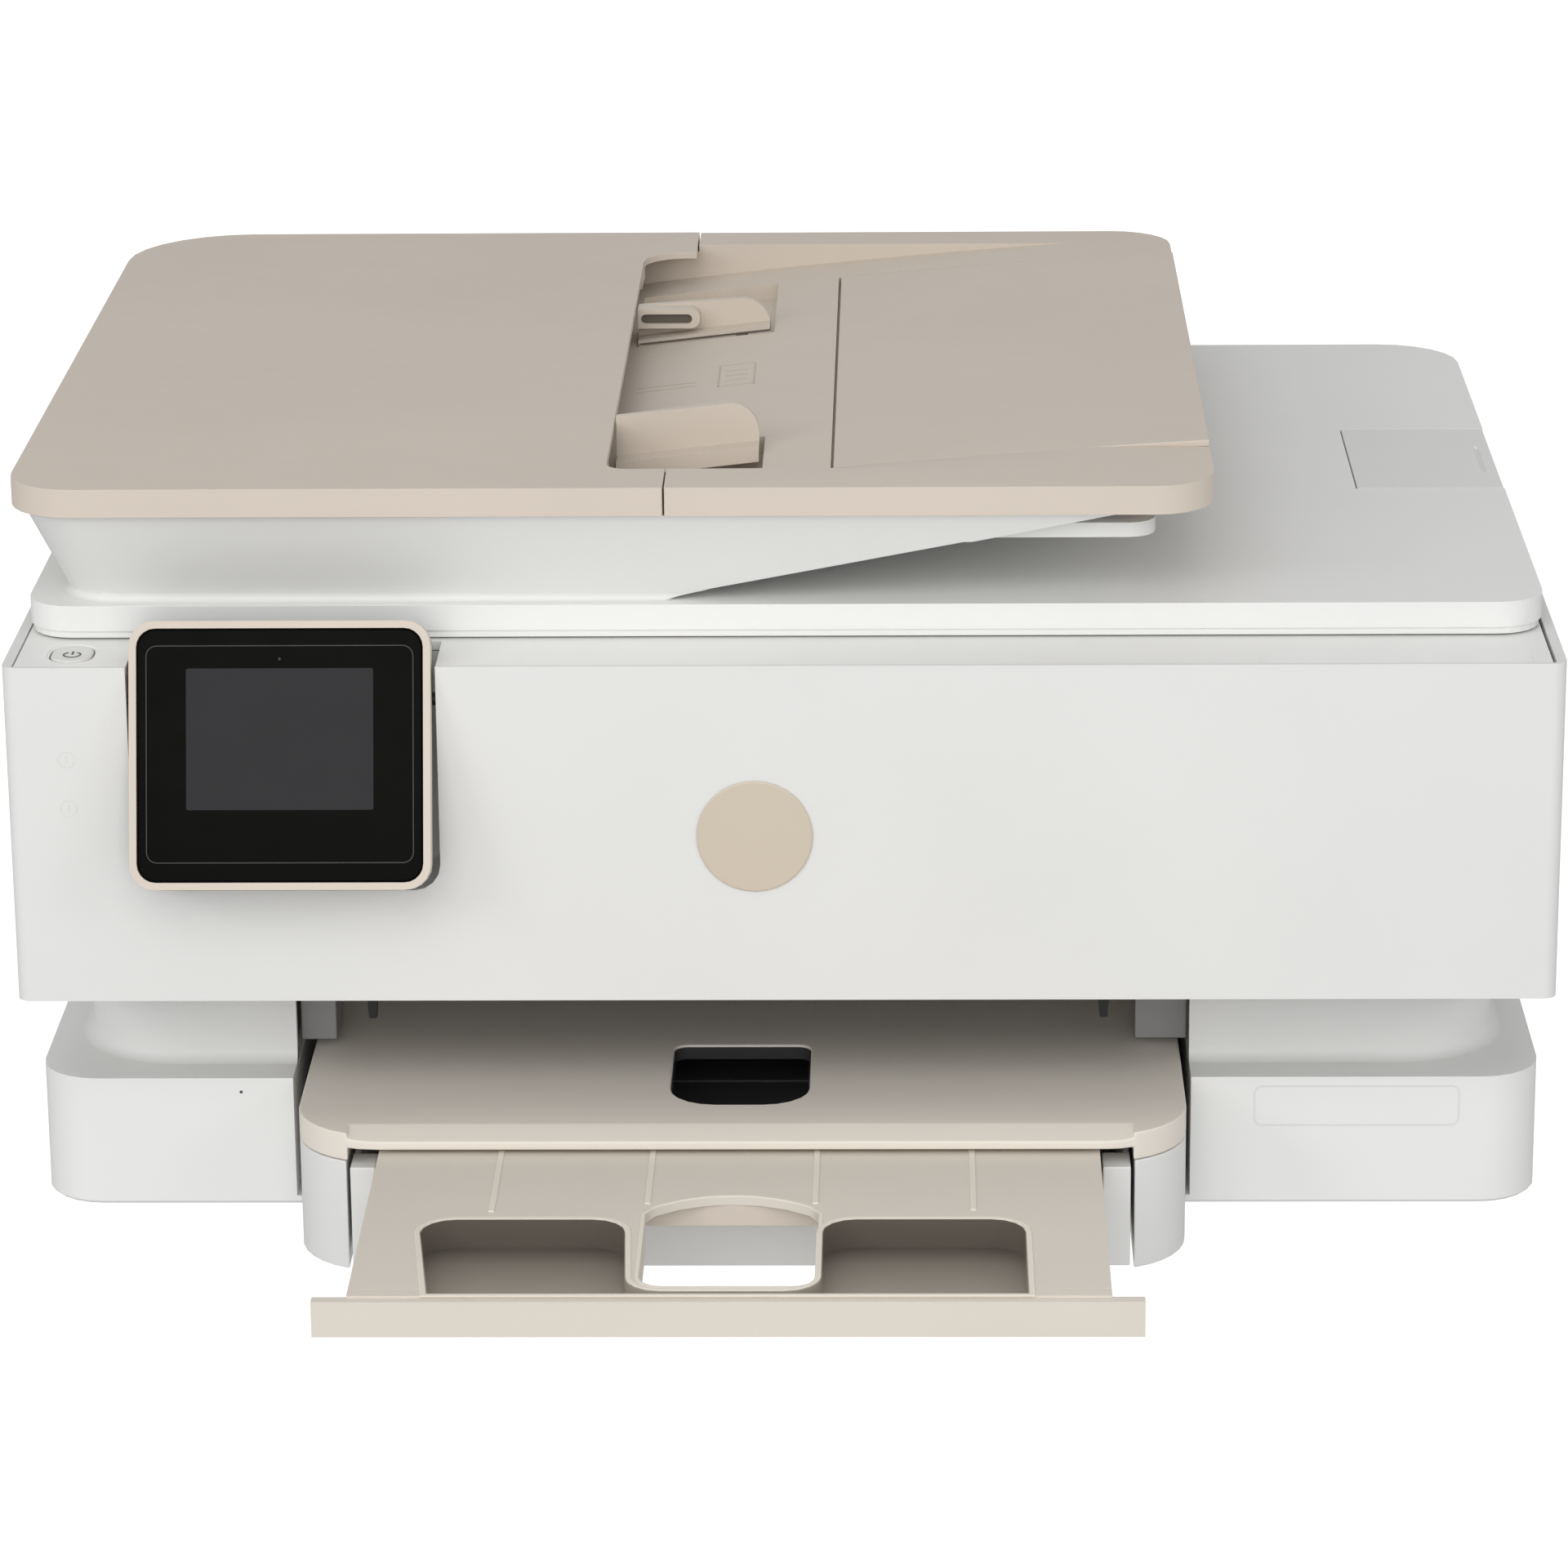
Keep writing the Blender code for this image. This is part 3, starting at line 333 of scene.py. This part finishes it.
def cad_solid(node):
    """A copy of a CAD node's shape, with its triangles joined into flat faces."""
    bm = bmesh.new()
    bm.from_mesh(NODES[node].data)
    bmesh.ops.remove_doubles(bm, verts=bm.verts, dist=2e-6)
    bmesh.ops.dissolve_limit(bm, angle_limit=math.radians(0.5), verts=bm.verts, edges=bm.edges)
    return bm


def shaped(obj, cutters, bevel, segments=3, angle=35):
    """Cuts solids away, then rounds every edge sharper than an angle by bevel millimetres."""
    tools = []
    for number, solid in enumerate(cutters):
        tool = as_object(f"{obj.name}_tool_{number}", solid)
        tools.append(tool)
        modifier = obj.modifiers.new("shape", "BOOLEAN")
        modifier.operation = "DIFFERENCE"
        modifier.object = tool
    obj.data.shade_smooth()
    if bevel:
        rounding = obj.modifiers.new("rounding", "BEVEL")
        rounding.width = bevel * MM
        rounding.segments = segments
        rounding.limit_method = "ANGLE"
        rounding.angle_limit = math.radians(angle)
        rounding.use_clamp_overlap = True
        normals = obj.modifiers.new("normals", "WEIGHTED_NORMAL")
        normals.mode = "FACE_AREA"
        normals.weight = 95
        normals.keep_sharp = True
    graph = bpy.context.evaluated_depsgraph_get()
    mesh = bpy.data.meshes.new_from_object(
        obj.evaluated_get(graph), preserve_all_data_layers=True, depsgraph=graph
    )
    obj.modifiers.clear()
    obj.data = mesh
    if not bevel:
        mesh.set_sharp_from_angle(angle=math.radians(angle))
    for tool in tools:
        bpy.data.objects.remove(tool, do_unlink=True)
    return obj


def finish_piece(obj, material, body, nodes=()):
    obj.data.materials.clear()
    obj.data.materials.append(material)
    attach(obj, body)
    if nodes:
        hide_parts(*nodes)
    return obj


def refined(node, bevel, cutters=(), material=None, segments=3, angle=35):
    """A detailed piece that stands for a CAD node."""
    obj = as_object(f"{node}_finished", cad_solid(node))
    shaped(obj, cutters, bevel, segments, angle)
    slot = NODE_SLOT[node]
    return finish_piece(obj, material or MATERIALS[slot], NODE_BODY[node], (node,))


def added(name, bm, slot, body, bevel, cutters=(), material=None):
    """A small piece that the CAD doesn't have."""
    obj = shaped(as_object(name, bm), cutters, bevel, segments=2)
    return finish_piece(obj, material or MATERIALS[slot], body)


# ---------------------------------------------------------------- the printer

MATERIALS = make_materials()

BACK_Y = edges_of("upper_housing")[4]
SIDE_X = edges_of("upper_housing")[3]
BASE_FRONT, BASE_BOTTOM = edges_of("base_housing")[1], 1.5
LEDGE_Z = 43.0
HOLE_WALL_BOTTOM = 28.9
LID_BOTTOM, LID_TOP = edges_of("scan_lid")[2], edges_of("scan_lid")[5]
BAY_LEFT, BAY_RIGHT = -151.9, 123.3

# The neck between the base's ledge and the upper unit, with its front and rear corners.
NECK_SIDE, NECK_FRONT, NECK_BACK = 218.5, 46.0, 348.0
NECK_CORNERS = (30.0, 20.0)

# Screws under the base as (x, y), and in the upper unit's back as (x, z).
UNDER_SCREWS = ((-215, 110), (-215, 260), (215, 110), (215, 260))
BACK_SCREWS = ((-214, 120), (-214, 168), (214, 120), (214, 168))

# The control panel is drawn upright, then leaned back about its pivot.
PANEL_PIVOT = (5.0, 172.7)
PANEL_LEAN = math.radians(-18.0)
PANEL_FACE = -4.3
PANEL_MIDDLE, PANEL_HALF = 156.0, 39.65
GLASS_FACE = PANEL_FACE + 0.5


def leaned(bm):
    pivot = place(0, *PANEL_PIVOT)
    bmesh.ops.rotate(bm, verts=bm.verts, cent=pivot, matrix=Matrix.Rotation(PANEL_LEAN, 3, "X"))
    return bm


def plain(nodes, bevel=0.35):
    for node in nodes:
        refined(node, bevel)


def screw(name, centre, face, outward, body, radius):
    """A cross-head screw that lies just under a face; outward is the axis and the side it faces."""
    axis, side = outward
    u, v = centre
    low, high = sorted((face - side * 0.4, face - side * 1.9))
    long, thin = radius * 0.62, radius * 0.16
    arm = ((thin, thin), (long, thin), (long, -thin))
    cross = [(u + p, v + q) for p, q in arm] + [(u + q, v - p) for p, q in arm]
    cross += [(u - p, v - q) for p, q in arm] + [(u - q, v + p) for p, q in arm]
    socket = prism(cross, *sorted((face + side, face - side * 1.1)), axis)
    added(name, prism(circle(centre, radius, 24), low, high, axis), "steel", body, 0.12, [socket])


def well(centre, face, outward):
    """The round hole that a screw sits in."""
    axis, side = outward
    low, high = sorted((face - side * 2.0, face + side * 1.0))
    return prism(circle(centre, 3.6, 24), low, high, axis)


def slot_row(starts, width, low, high, face, axis):
    """A row of upright slots with round ends, cut 1.4 mm into a face."""
    end = width / 2 - 0.1
    return [prism(rounded(u, u + width, low, high, end, 3), face - 1.4, face + 1, axis) for u in starts]


def neck_plan(grow):
    front, rear = (corner + grow for corner in NECK_CORNERS)
    corners = (front, front, rear, rear)
    return rounded(-NECK_SIDE - grow, NECK_SIDE + grow, NECK_FRONT - grow, NECK_BACK + grow, corners)


def neck_fillet():
    """The soft corner between the base's ledge and the narrower neck above it."""
    radius, overlap, steps, rings = 4.0, 0.05, 6, []
    for number in range(steps + 1):
        turn = math.radians(90 * number / steps)
        height = LEDGE_Z - overlap + radius * (1 - math.cos(turn))
        rings.append([(x, y, height) for x, y in neck_plan(radius * (1 - math.sin(turn)) - overlap)])
    return loft(rings)


def plate_outline(grow):
    """The blank plate at the right of the base's front."""
    return rounded(143 - grow, 205 + grow, 27.5 - grow, 39.7 + grow, 2.0 + grow)


def make_base():
    white, mark = MATERIALS["white_lid"], MATERIALS["shell_mark"]
    plate = prism(plate_outline(0), BASE_FRONT - 0.25, BASE_FRONT + 0.6, "y")
    added("blank_plate", plate, "white_shell", "root", 0.15, material=white)
    around = band(plate_outline(0.4), plate_outline(-0.1), BASE_FRONT - 0.28, BASE_FRONT + 0.4, "y")
    added("blank_plate_edge", around, "white_shell", "root", 0, material=mark)
    dot = prism(circle((-168, 38.5), 0.5, 16), BASE_FRONT - 0.03, BASE_FRONT + 0.4, "y")
    added("base_dot", dot, "dark_plastic", "root", 0)
    vents = slot_row(range(128, 206, 6), 2.4, 12, 34, BACK_Y, "y")
    vents += slot_row(range(250, 330, 6), 2.4, 12, 34, SIDE_X, "x")
    label_recess = prism(rounded(-60, 40, 250, 300, 3.0), 0.5, 2.1)
    wells = [well(centre, BASE_BOTTOM, ("z", -1)) for centre in UNDER_SCREWS]
    refined("base_housing", 0.9, [*vents, label_recess, *wells], white)
    within = prism(neck_plan(-2.0), 40, 60)
    bay = box(BAY_LEFT, BAY_RIGHT, 20, 52, 40, 60)
    added("ledge_fillet", neck_fillet(), "white_shell", "root", 0, [within, bay], white)
    for number, centre in enumerate(UNDER_SCREWS, 1):
        screw(f"under_screw_{number}", centre, BASE_BOTTOM, ("z", -1), "root", 2.8)
    refined("bay_frame", 0.5, material=MATERIALS["bay_grey"])
    plain(("foot_1", "foot_2", "foot_3", "foot_4"), 0.3)
    plain(("tray_cheek_left", "tray_cheek_right"), 0.6)


def finger_hole(inset):
    """The notch in the output tray, under which a finger reaches the paper."""
    front, rear = 14 - inset, 4 - inset
    return rounded(-35.5 + inset, 6.8 - inset, 4.4 + inset, 55 - inset, (front, front, rear, rear))


def make_paper_path():
    refined("output_tray", 0.8, material=MATERIALS["output_tray"], angle=12)
    black = MATERIALS["shadow_black"]
    # A black band of painted shade over the finger hole's walls, which are beige plastic lying in shade.
    hole_shade_band = band(finger_hole(0), finger_hole(0.4), 39.9, 43.7)
    added("finger_hole_shade", hole_shade_band, "black_plastic", "root", 0, material=black)
    # A black sheet of painted shade over the paper, so that the tray looks dark under the finger hole; it
    # rides the paper tray.
    shade_sheet = box(-128.2, 101.2, 20, 118, 25.9, 26.4)
    added("paper_shade_sheet", shade_sheet, "black_plastic", "paper_tray", 0, material=black)
    # Two dark ridges that lie on the painted shade sheet.
    ridges = [box(-38, 9, y, y + 1.2, 26.3, 26.8) for y in (70, 92)]
    added("shade_sheet_ridges", merged(*ridges), "dark_plastic", "paper_tray", 0.2)
    refined("paper_tray", 0.5)
    plain(("tray_guide_left", "tray_guide_right", "tray_length_guide"), 0.4)
    plain(("platen", "feed_roller", "feed_gear", "output_roller", "pick_arm", "pick_roller", "motor_pinion"))


def hand_hole(grow):
    """The opening in the extender: round corners in front and an arch at the back."""
    left, right, front, shoulder = -39.7 - grow, 10.7 + grow, -121.3 - grow, -68.0
    corner, arch_radius, arch_centre = 7.0 + grow, 33.4 + grow, ((left + right) / 2, -87.7)
    return (
        arc((left + corner, front + corner), corner, 180, 270, 6)
        + arc((right - corner, front + corner), corner, 270, 360, 6)
        + [(right, shoulder)]
        + arc(arch_centre, arch_radius, 48, 132, 12)
        + [(left, shoulder)]
    )


def extender_pocket(grow):
    """The sunken part of the extender: two lobes, joined in front of the hand hole."""
    radius, lobe_centre = 10.0, -81.5
    far_left, far_right, front = -99.0, 70.6, -126.8
    rim_left, rim_right, rim_front = -43.5, 11.9, -124.4
    out, within = radius + grow, radius - grow
    return (
        [(far_left - grow, front - grow), (far_right + grow, front - grow)]
        + arc((far_right - radius, lobe_centre), out, 0, 90, 6)
        + arc((rim_right + radius, lobe_centre), out, 90, 180, 6)
        + arc((rim_right - radius, rim_front + radius), within, 0, -90, 6)
        + arc((rim_left + radius, rim_front + radius), within, -90, -180, 6)
        + arc((rim_left - 1.5 - radius, lobe_centre), out, 0, 90, 6)
        + arc((-94.3, lobe_centre), out, 90, 180, 6)
    )


def pocket_plan(z_at):
    """The pocket's outline, at the height that z_at gives for each y."""
    return [(x, y, z_at(y)) for x, y in extender_pocket(-0.05)]


def make_extender():
    body = "output_extender"
    joint_line = box(-122, 94.5, -123.3, -122.8, 37.8, 39)
    under_arch = box(-46, 17, -69, -50, 20, 35.6)
    refined(body, 0.5, [joint_line, under_arch], MATERIALS["beige_tray"])
    # The rims around the pocket and the hand hole take the lighter beige, a painted highlight along the
    # edges.
    light, pocket_shade = MATERIALS["beige_painted_highlight"], MATERIALS["pocket"]
    rims = merged(
        band(extender_pocket(1.7), extender_pocket(0.02), 38.0, 38.5),
        band(hand_hole(1.3), hand_hole(0.02), 38.0, 38.45),
    )
    added("extender_rims", rims, "beige_shell", body, 0.2, material=light)
    # The pocket's floor and walls take the painted shade ramp, dark at the rear of the recess.
    floor_low, floor_rear, slope = 28.85, -71.5, 0.055
    floor = loft([
        pocket_plan(lambda y: floor_low),
        pocket_plan(lambda y: 29.2 + slope * (floor_rear - y)),
    ])
    added("pocket_floor", floor, "beige_shell", body, 0, material=pocket_shade)
    walls = band(extender_pocket(-0.02), extender_pocket(-0.25), floor_low, 38.1)
    added("pocket_walls", walls, "beige_shell", body, 0, material=pocket_shade)
    rear_wall = box(-41.5, 12.5, -54.2, -52.9, HOLE_WALL_BOTTOM, 36.6)
    added("hole_rear_wall", rear_wall, "beige_shell", body, 0.2)
    # The ribs take the same lighter beige: a painted highlight along them.
    ribs = ((-84.7, -66), (-39.4, -60), (9.6, -60), (55.7, -65))
    for number, (x, front) in enumerate(ribs, 1):
        rib = box(x - 0.9, x + 0.9, front, -5, 38.0, 38.6)
        added(f"extender_rib_{number}", rib, "beige_shell", body, 0.2, material=light)


def make_inside():
    plain(("carriage_rail", "drive_belt", "carriage_motor", "feed_motor", "power_supply", "access_hinge_rod"))
    plain(("drive_pulley", "idler_pulley", "service_station", "print_carriage", "latch_color", "latch_black"))
    plain(("cartridge_color", "cartridge_black"), 0.6)
    plain(("main_board",), 0.15)
    x0, y0, _, x1, y1, top = edges_of("main_board")
    # Each chip or connector: its corner on the board, width, depth and height.
    chips = (
        (8, 20, 18, 18, 1.6), (32, 24, 12, 16, 1.4), (10, 60, 14, 9, 1.4),
        (34, 60, 8, 22, 6.0), (8, 90, 26, 8, 7.0), (8, 130, 30, 7, 7.0),
    )
    parts = [box(x0 + x, x0 + x + w, y0 + y, y0 + y + d, top - 0.3, top + h) for x, y, w, d, h in chips]
    added("board_parts", merged(*parts), "black_plastic", "root", 0.3)
    caps = [prism(circle((x1 - 10, y1 - y), 4.0, 20), top - 0.2, top + 9) for y in (20, 32, 44)]
    added("board_capacitors", merged(*caps), "steel", "root", 0.4)
    plain(("power_inlet",), 0.5)
    pins = [prism(circle((x, 24.0), 1.2, 16), 345, 356, "y") for x in (-190.0, -182.0)]
    added("inlet_pins", merged(*pins), "steel", "root", 0.3)


def make_rear_door():
    x0, _, _, x1, face, top = edges_of("rear_access_door")
    grip = prism(rounded(-30, 10, top - 9, top - 3, 2.5), face - 0.9, face + 1, "y")
    grooves = [box(x0 + 10, x1 - 10, face - 0.5, face + 1, z, z + 0.6) for z in (13, 26)]
    refined("rear_access_door", 0.5, [grip, *grooves])


def make_upper():
    vents = slot_row(range(-72, 73, 7), 2.6, 104, 136, BACK_Y, "y")
    wells = [well(centre, BACK_Y, ("y", 1)) for centre in BACK_SCREWS]
    grips = [
        prism(rounded(120, 220, 84, 96, 5.0), side * (SIDE_X - 1.2), side * (SIDE_X + 1), "x")
        for side in (-1, 1)
    ]
    refined("upper_housing", 0.7, [*vents, *wells, *grips])
    for number, centre in enumerate(BACK_SCREWS, 1):
        screw(f"back_screw_{number}", centre, BACK_Y, ("y", 1), "upper_body", 3.0)
    mark_x, mark = -212.3, MATERIALS["shell_mark"]
    for number, z in enumerate((155.7, 140.5), 1):
        ring = band(circle((mark_x, z), 2.6), circle((mark_x, z), 2.25), -0.12, 0.3, "y")
        stem = box(mark_x - 0.25, mark_x + 0.25, -0.12, 0.3, z - 1.2, z + 1.2)
        added(f"front_mark_{number}", merged(ring, stem), "white_shell", "upper_body", 0, material=mark)
    for number, x in enumerate((-125.7, 93.7), 1):
        tab = prism([(x + 0.5, 72.8), (x + 2.9, 72.8), (x + 3.5, 82.0), (x, 82.0)], 2.7, 6.4, "y")
        added(f"stop_tab_{number}", tab, "black_plastic", "upper_body", 0.25)
    refined("badge", 0.35, material=MATERIALS["badge"])


def make_power_button():
    x0, y0, bottom, x1, y1, top = edges_of("power_button")
    # The cap is dished: each level is how far its outline lies inside the rim, and its height.
    dish = ((0.0, 0.5), (0.35, 0.12), (0.9, 0.0), (1.8, 0.12), (3.4, 0.3), (5.2, 0.38))
    levels = [(0.0, bottom), *((inset, top - drop) for inset, drop in dish)]
    rings = [
        [(x, y, z) for x, y in rounded(x0 + inset, x1 - inset, y0 + inset, y1 - inset, 6.05 - inset, 8)]
        for inset, z in levels
    ]
    obj = shaped(as_object("power_button_finished", loft(rings)), (), 0)
    finish_piece(obj, MATERIALS["white_shell"], "power_button", ("power_button",))
    u, v = (x0 + x1) / 2, (y0 + y1) / 2
    stroke, low, high = 0.28, top - 0.6, top - 0.24
    curve = arc((u, v - 0.6), 2.5 + stroke, 122, 418, 24) + arc((u, v - 0.6), 2.5 - stroke, 418, 122, 24)
    glyph = merged(prism(curve, low, high), box(u - stroke, u + stroke, v - 0.2, v + 2.6, low, high))
    added("power_glyph", glyph, "dark_plastic", "power_button", 0)


def make_scanner():
    x0, y0, _, x1, y1, top = edges_of("power_button")
    dish = prism(rounded(x0 - 1.4, x1 + 1.4, y0 - 1.4, y1 + 1.4, 7.4, 8), top - 0.5, top + 2)
    _, front, bottom, right, back, _ = edges_of("scanner_deck")
    edge = box(right - 0.6, right + 1, front - 1, back + 1, bottom - 1, top + 2)
    refined("scanner_deck", 0.45, [dish, edge])
    # A black strip of painted shade at the bottom of the gap by the deck's right edge, where the gap lies in
    # shade.
    seam = box(right - 0.55, right + 0.3, front + 2, back - 2, bottom - 0.35, bottom + 0.4)
    added("deck_gap_shade", seam, "black_plastic", "upper_body", 0)
    refined("scanner_glass", 0.3)
    left, near, _, _, far, glass = edges_of("scanner_glass")
    low, high = glass + 0.1, glass + 0.32
    lines = [box(left + x, left + x + 0.4, near - 3.2, near - 1.2, low, high) for x in (88, 150, 216)]
    triangle = [(left - 2.2, far + 2.2), (left - 7.2, far + 2.2), (left - 2.2, far + 7.2)]
    added("glass_marks", merged(prism(triangle, low, high), *lines), "dark_plastic", "upper_body", 0)
    plain(("scan_head",), 0.4)
    lamp = box(-193.5, -182.5, 78, 298, 179.4, 179.9)
    added("scan_lamp", lamp, "nylon", "scan_head", 0.15)


def make_control_panel():
    left, _, _, right, _, _ = edges_of("panel_bezel")
    middle_x = (left + right) / 2
    refined("panel_bezel", 0.5)
    refined("panel_housing", 0.4)
    refined("panel_glass", 0.45)
    window = rounded(middle_x - 27.6, middle_x + 27.6, PANEL_MIDDLE - 16.05, PANEL_MIDDLE + 25.65, 0.6, 3)
    screen = leaned(prism(window, GLASS_FACE - 0.04, GLASS_FACE + 0.4, "y"))
    added("display_window", screen, "display", "control_panel", 0)
    refined("panel_display", 0.2)
    low, high = PANEL_MIDDLE - PANEL_HALF + 7.9, PANEL_MIDDLE + PANEL_HALF - 7.2
    outer = rounded(left + 5.0, right - 5.0, low, high, 3.2)
    inner = rounded(left + 5.3, right - 5.3, low + 0.3, high - 0.3, 2.9)
    # The line on the glass is a painted highlight: a band a little lighter than the glass where its bevel
    # step catches the light.
    mark, front, back = MATERIALS["panel_line"], GLASS_FACE - 0.05, GLASS_FACE + 0.3
    line = leaned(band(outer, inner, front, back, "y"))
    added("panel_line", line, "panel_glass", "control_panel", 0, material=mark)
    dot = leaned(prism(circle((middle_x, PANEL_MIDDLE + 28.4), 0.4, 16), front, back, "y"))
    added("panel_sensor", dot, "panel_glass", "control_panel", 0, material=mark)


def lid_outline(inset):
    front, rear = 14 - inset, 26 - inset
    return rounded(-227 + inset, 227 - inset, 29 + inset, 349 - inset, (front, front, rear, rear))


def feeder_outline(height, grow):
    """The plan of the feeder's base at a height: it leans in at the front and left."""
    share = (224.3 - height) / 29.0
    right = -36 + (height - LID_TOP) * 4.6
    return rounded(
        -226.5 + 11 * share - grow, right + grow, 21.5 + 13 * share - grow, 352 - 8 * share + grow,
        (16 + grow, 2 + grow, 2 + grow, 28 + grow),
    )


def feeder_fillet():
    """The soft corner between the lid's top and the feeder's base."""
    radius, steps, rings = 3.2, 5, []
    for number in range(steps + 1):
        turn = math.radians(90 * number / steps)
        height = LID_TOP + 0.02 + radius * (1 - math.cos(turn))
        outline = feeder_outline(height, radius * (1 - math.sin(turn)) - 0.1)
        rings.append([(x, y, height) for x, y in outline])
    return loft(rings)


def make_lid():
    step = band(lid_outline(-2.0), lid_outline(0.8), LID_BOTTOM - 1, LID_BOTTOM + 2.2)
    refined("scan_lid", 0.5, [step], MATERIALS["white_lid"])
    plain(("lid_hinge_rod",))
    pad = refined("lid_pad", 1.6, segments=5)
    slot = prism(rounded(221.8, 223.0, 178, 209, 0.55, 3), LID_TOP - 0.7, LID_TOP + 1)
    refined("document_stop", 0.5, [slot])
    seam = box(179.82, 180.18, 158.5, 231.5, 191.45, 193.7)
    added("stop_seam", seam, "white_shell", "lid", 0, material=MATERIALS["dark_plastic"])
    added("feeder_fillet", feeder_fillet(), "white_shell", "lid", 0)
    refined("feeder_base", 0.8)
    ends = ((214.3, 56.0, 25.94, 349.3), (223.9, 99.0, 21.64, 351.9))
    wedge = [[(50, y0, z), (x1, y0, z), (x1, y1, z), (50, y1, z)] for z, x1, y0, y1 in ends]
    added("feeder_wedge", loft(wedge), "white_shell", "lid", 0)


def deck_z(x):
    """The height of the feeder's curved deck."""
    run = x + 54.0
    return 219.3 + 0.121 * run - 0.00019 * run * run


def deck_mark(x0, x1, y0, y1):
    """A thin mark that lies on the feeder's sloping deck."""
    z0, z1 = deck_z(x0), deck_z(x1)
    return prism([(x0, z0 - 0.2), (x1, z1 - 0.2), (x1, z1 + 0.1), (x0, z0 + 0.1)], y0, y1, "y")


def make_feeder():
    refined("feeder_cover", 0.9)
    refined("feeder_tray", 0.5)
    refined("feeder_flap", 0.45)
    sheet = [deck_mark(-24, -12, 180, 180.7), deck_mark(-24, -12, 207, 207.7)]
    sheet += [deck_mark(-24, -23.5, 180, 207), deck_mark(-12.5, -12, 180, 207)]
    sheet += [deck_mark(-21.5, -14.5, y, y + 0.6) for y in (187, 193, 199)]
    arrow = [deck_mark(-50, -31, 184, 184.7), deck_mark(-50, -31, 189, 189.7)]
    for name, solids in (("sheet_mark", sheet), ("load_mark", arrow)):
        added(name, merged(*solids), "beige_shell", "lid", 0, material=MATERIALS["mark"])
    refined("guide_front", 0.6)
    ring_right, ring_low, ring_high, curve = -31.8, 224.6, 231.2, 3.0
    beyond, corners = ring_right + 1, []
    for z, side in ((ring_high - curve, 1), (ring_low + curve, -1)):
        points = arc((ring_right - curve, z), curve, 0, 90 * side, 6)
        corners.append(prism([*points, (beyond, z + side * (curve + 1)), (beyond, z)], 250, 257.8, "y"))
    slot = prism(rounded(-51.4, -34.4, 226.2, 229.4, 1.5, 4), 250.5, 254.0, "y")
    refined("guide_rear", 0.5, [slot, *corners])
    # A sheet of painted shade at the bottom of the guide's slot, taking the dark far end of the pocket ramp.
    slot_shade_sheet = prism(rounded(-51.3, -34.5, 226.3, 229.3, 1.4, 4), 253.5, 253.95, "y")
    added("guide_slot_shade", slot_shade_sheet, "beige_shell", "guide_rear", 0, material=MATERIALS["pocket"])
    plain(("guide_pinion", "feeder_roller"))


def make_all():
    make_base()
    make_paper_path()
    make_extender()
    make_inside()
    make_rear_door()
    make_upper()
    make_power_button()
    make_scanner()
    make_control_panel()
    make_lid()
    make_feeder()


make_all()


# ---------------------------------------------------------------- floor, lights and camera

# The floor is a white table that lights nothing. The room is a pale tent: each pair is a height (0 straight
# down, 1 straight up) and the light that comes from there. Each lamp has a place, a size and a power.
ROOM_LIGHT = ((0.0, 0.48), (0.55, 0.58), (1.0, 0.55))
LAMPS = (
    ("key", (-300, -1700, 1400), 1.5, 12.5),
    ("left", (-1500, -1200, 1000), 0.6, 5.0),
    ("right", (1500, -1200, 1000), 0.6, 3.0),
    ("low", (0, -1900, 400), 1.0, 7.0),
)


def make_stage():
    floor = as_object("floor", box(-4000, 4000, -4000, 4000, -10, 0))
    shader = Shader("floor", (0.25, 0.25, 0.25), 0.9, Specular_IOR_Level=0.0)
    floor.visible_diffuse = floor.visible_glossy = floor.visible_shadow = False
    shader.mottle(0.8, 0.01)
    shader.main.inputs["Emission Color"].default_value = (1.0, 1.0, 1.0, 1)
    shader.main.inputs["Emission Strength"].default_value = 1.0
    floor.data.materials.append(shader.material)

    world = bpy.data.worlds.new("studio")
    world.use_nodes = True
    tree = world.node_tree
    parts = tree.nodes.new("ShaderNodeSeparateXYZ")
    fade = tree.nodes.new("ShaderNodeMapRange")
    fade.inputs["From Min"].default_value = -1.0
    curve = tree.nodes.new("ShaderNodeValToRGB")
    curve.color_ramp.elements.new(0.5)
    for stop, (at, level) in zip(curve.color_ramp.elements, ROOM_LIGHT):
        stop.position = at
        stop.color = (level, level, level, 1.0)
    tree.links.new(tree.nodes.new("ShaderNodeTexCoord").outputs["Generated"], parts.inputs["Vector"])
    tree.links.new(parts.outputs["Z"], fade.inputs["Value"])
    tree.links.new(fade.outputs["Result"], curve.inputs["Fac"])
    tree.links.new(curve.outputs["Color"], tree.nodes["Background"].inputs["Strength"])
    tree.nodes["Background"].inputs["Color"].default_value = (1.0, 1.0, 1.0, 1)
    bpy.context.scene.world = world
    for name, where, size, power in LAMPS:
        data = bpy.data.lights.new(name, "AREA")
        data.energy = power
        data.size = size
        lamp = bpy.data.objects.new(name, data)
        lamp.location = place(*where)
        aim = place(0, 150, 90) - lamp.location
        lamp.rotation_euler = aim.to_track_quat("-Z", "Y").to_euler()
        bpy.context.scene.collection.objects.link(lamp)


def make_camera():
    pitch, yaw, roll = (math.radians(angle) for angle in (18.118, -1.259, -0.533))
    forward = Vector((math.sin(yaw) * math.cos(pitch), math.cos(yaw) * math.cos(pitch), -math.sin(pitch)))
    level = Vector((math.cos(yaw), -math.sin(yaw), 0))
    above = level.cross(forward)
    right = level * math.cos(roll) + above * math.sin(roll)
    up = above * math.cos(roll) - level * math.sin(roll)
    data = bpy.data.cameras.new("camera")
    data.sensor_width = 36.0
    data.lens = 134.3
    data.clip_start = 0.05
    camera = bpy.data.objects.new("camera", data)
    camera.matrix_world = Matrix.Translation(place(36.4, -1643.8, 685.5)) @ Matrix(
        ((right.x, up.x, -forward.x), (right.y, up.y, -forward.y), (right.z, up.z, -forward.z))
    ).to_4x4()
    bpy.context.scene.collection.objects.link(camera)
    bpy.context.scene.camera = camera
    bpy.context.scene.view_settings.view_transform = "Standard"


make_stage()
make_camera()
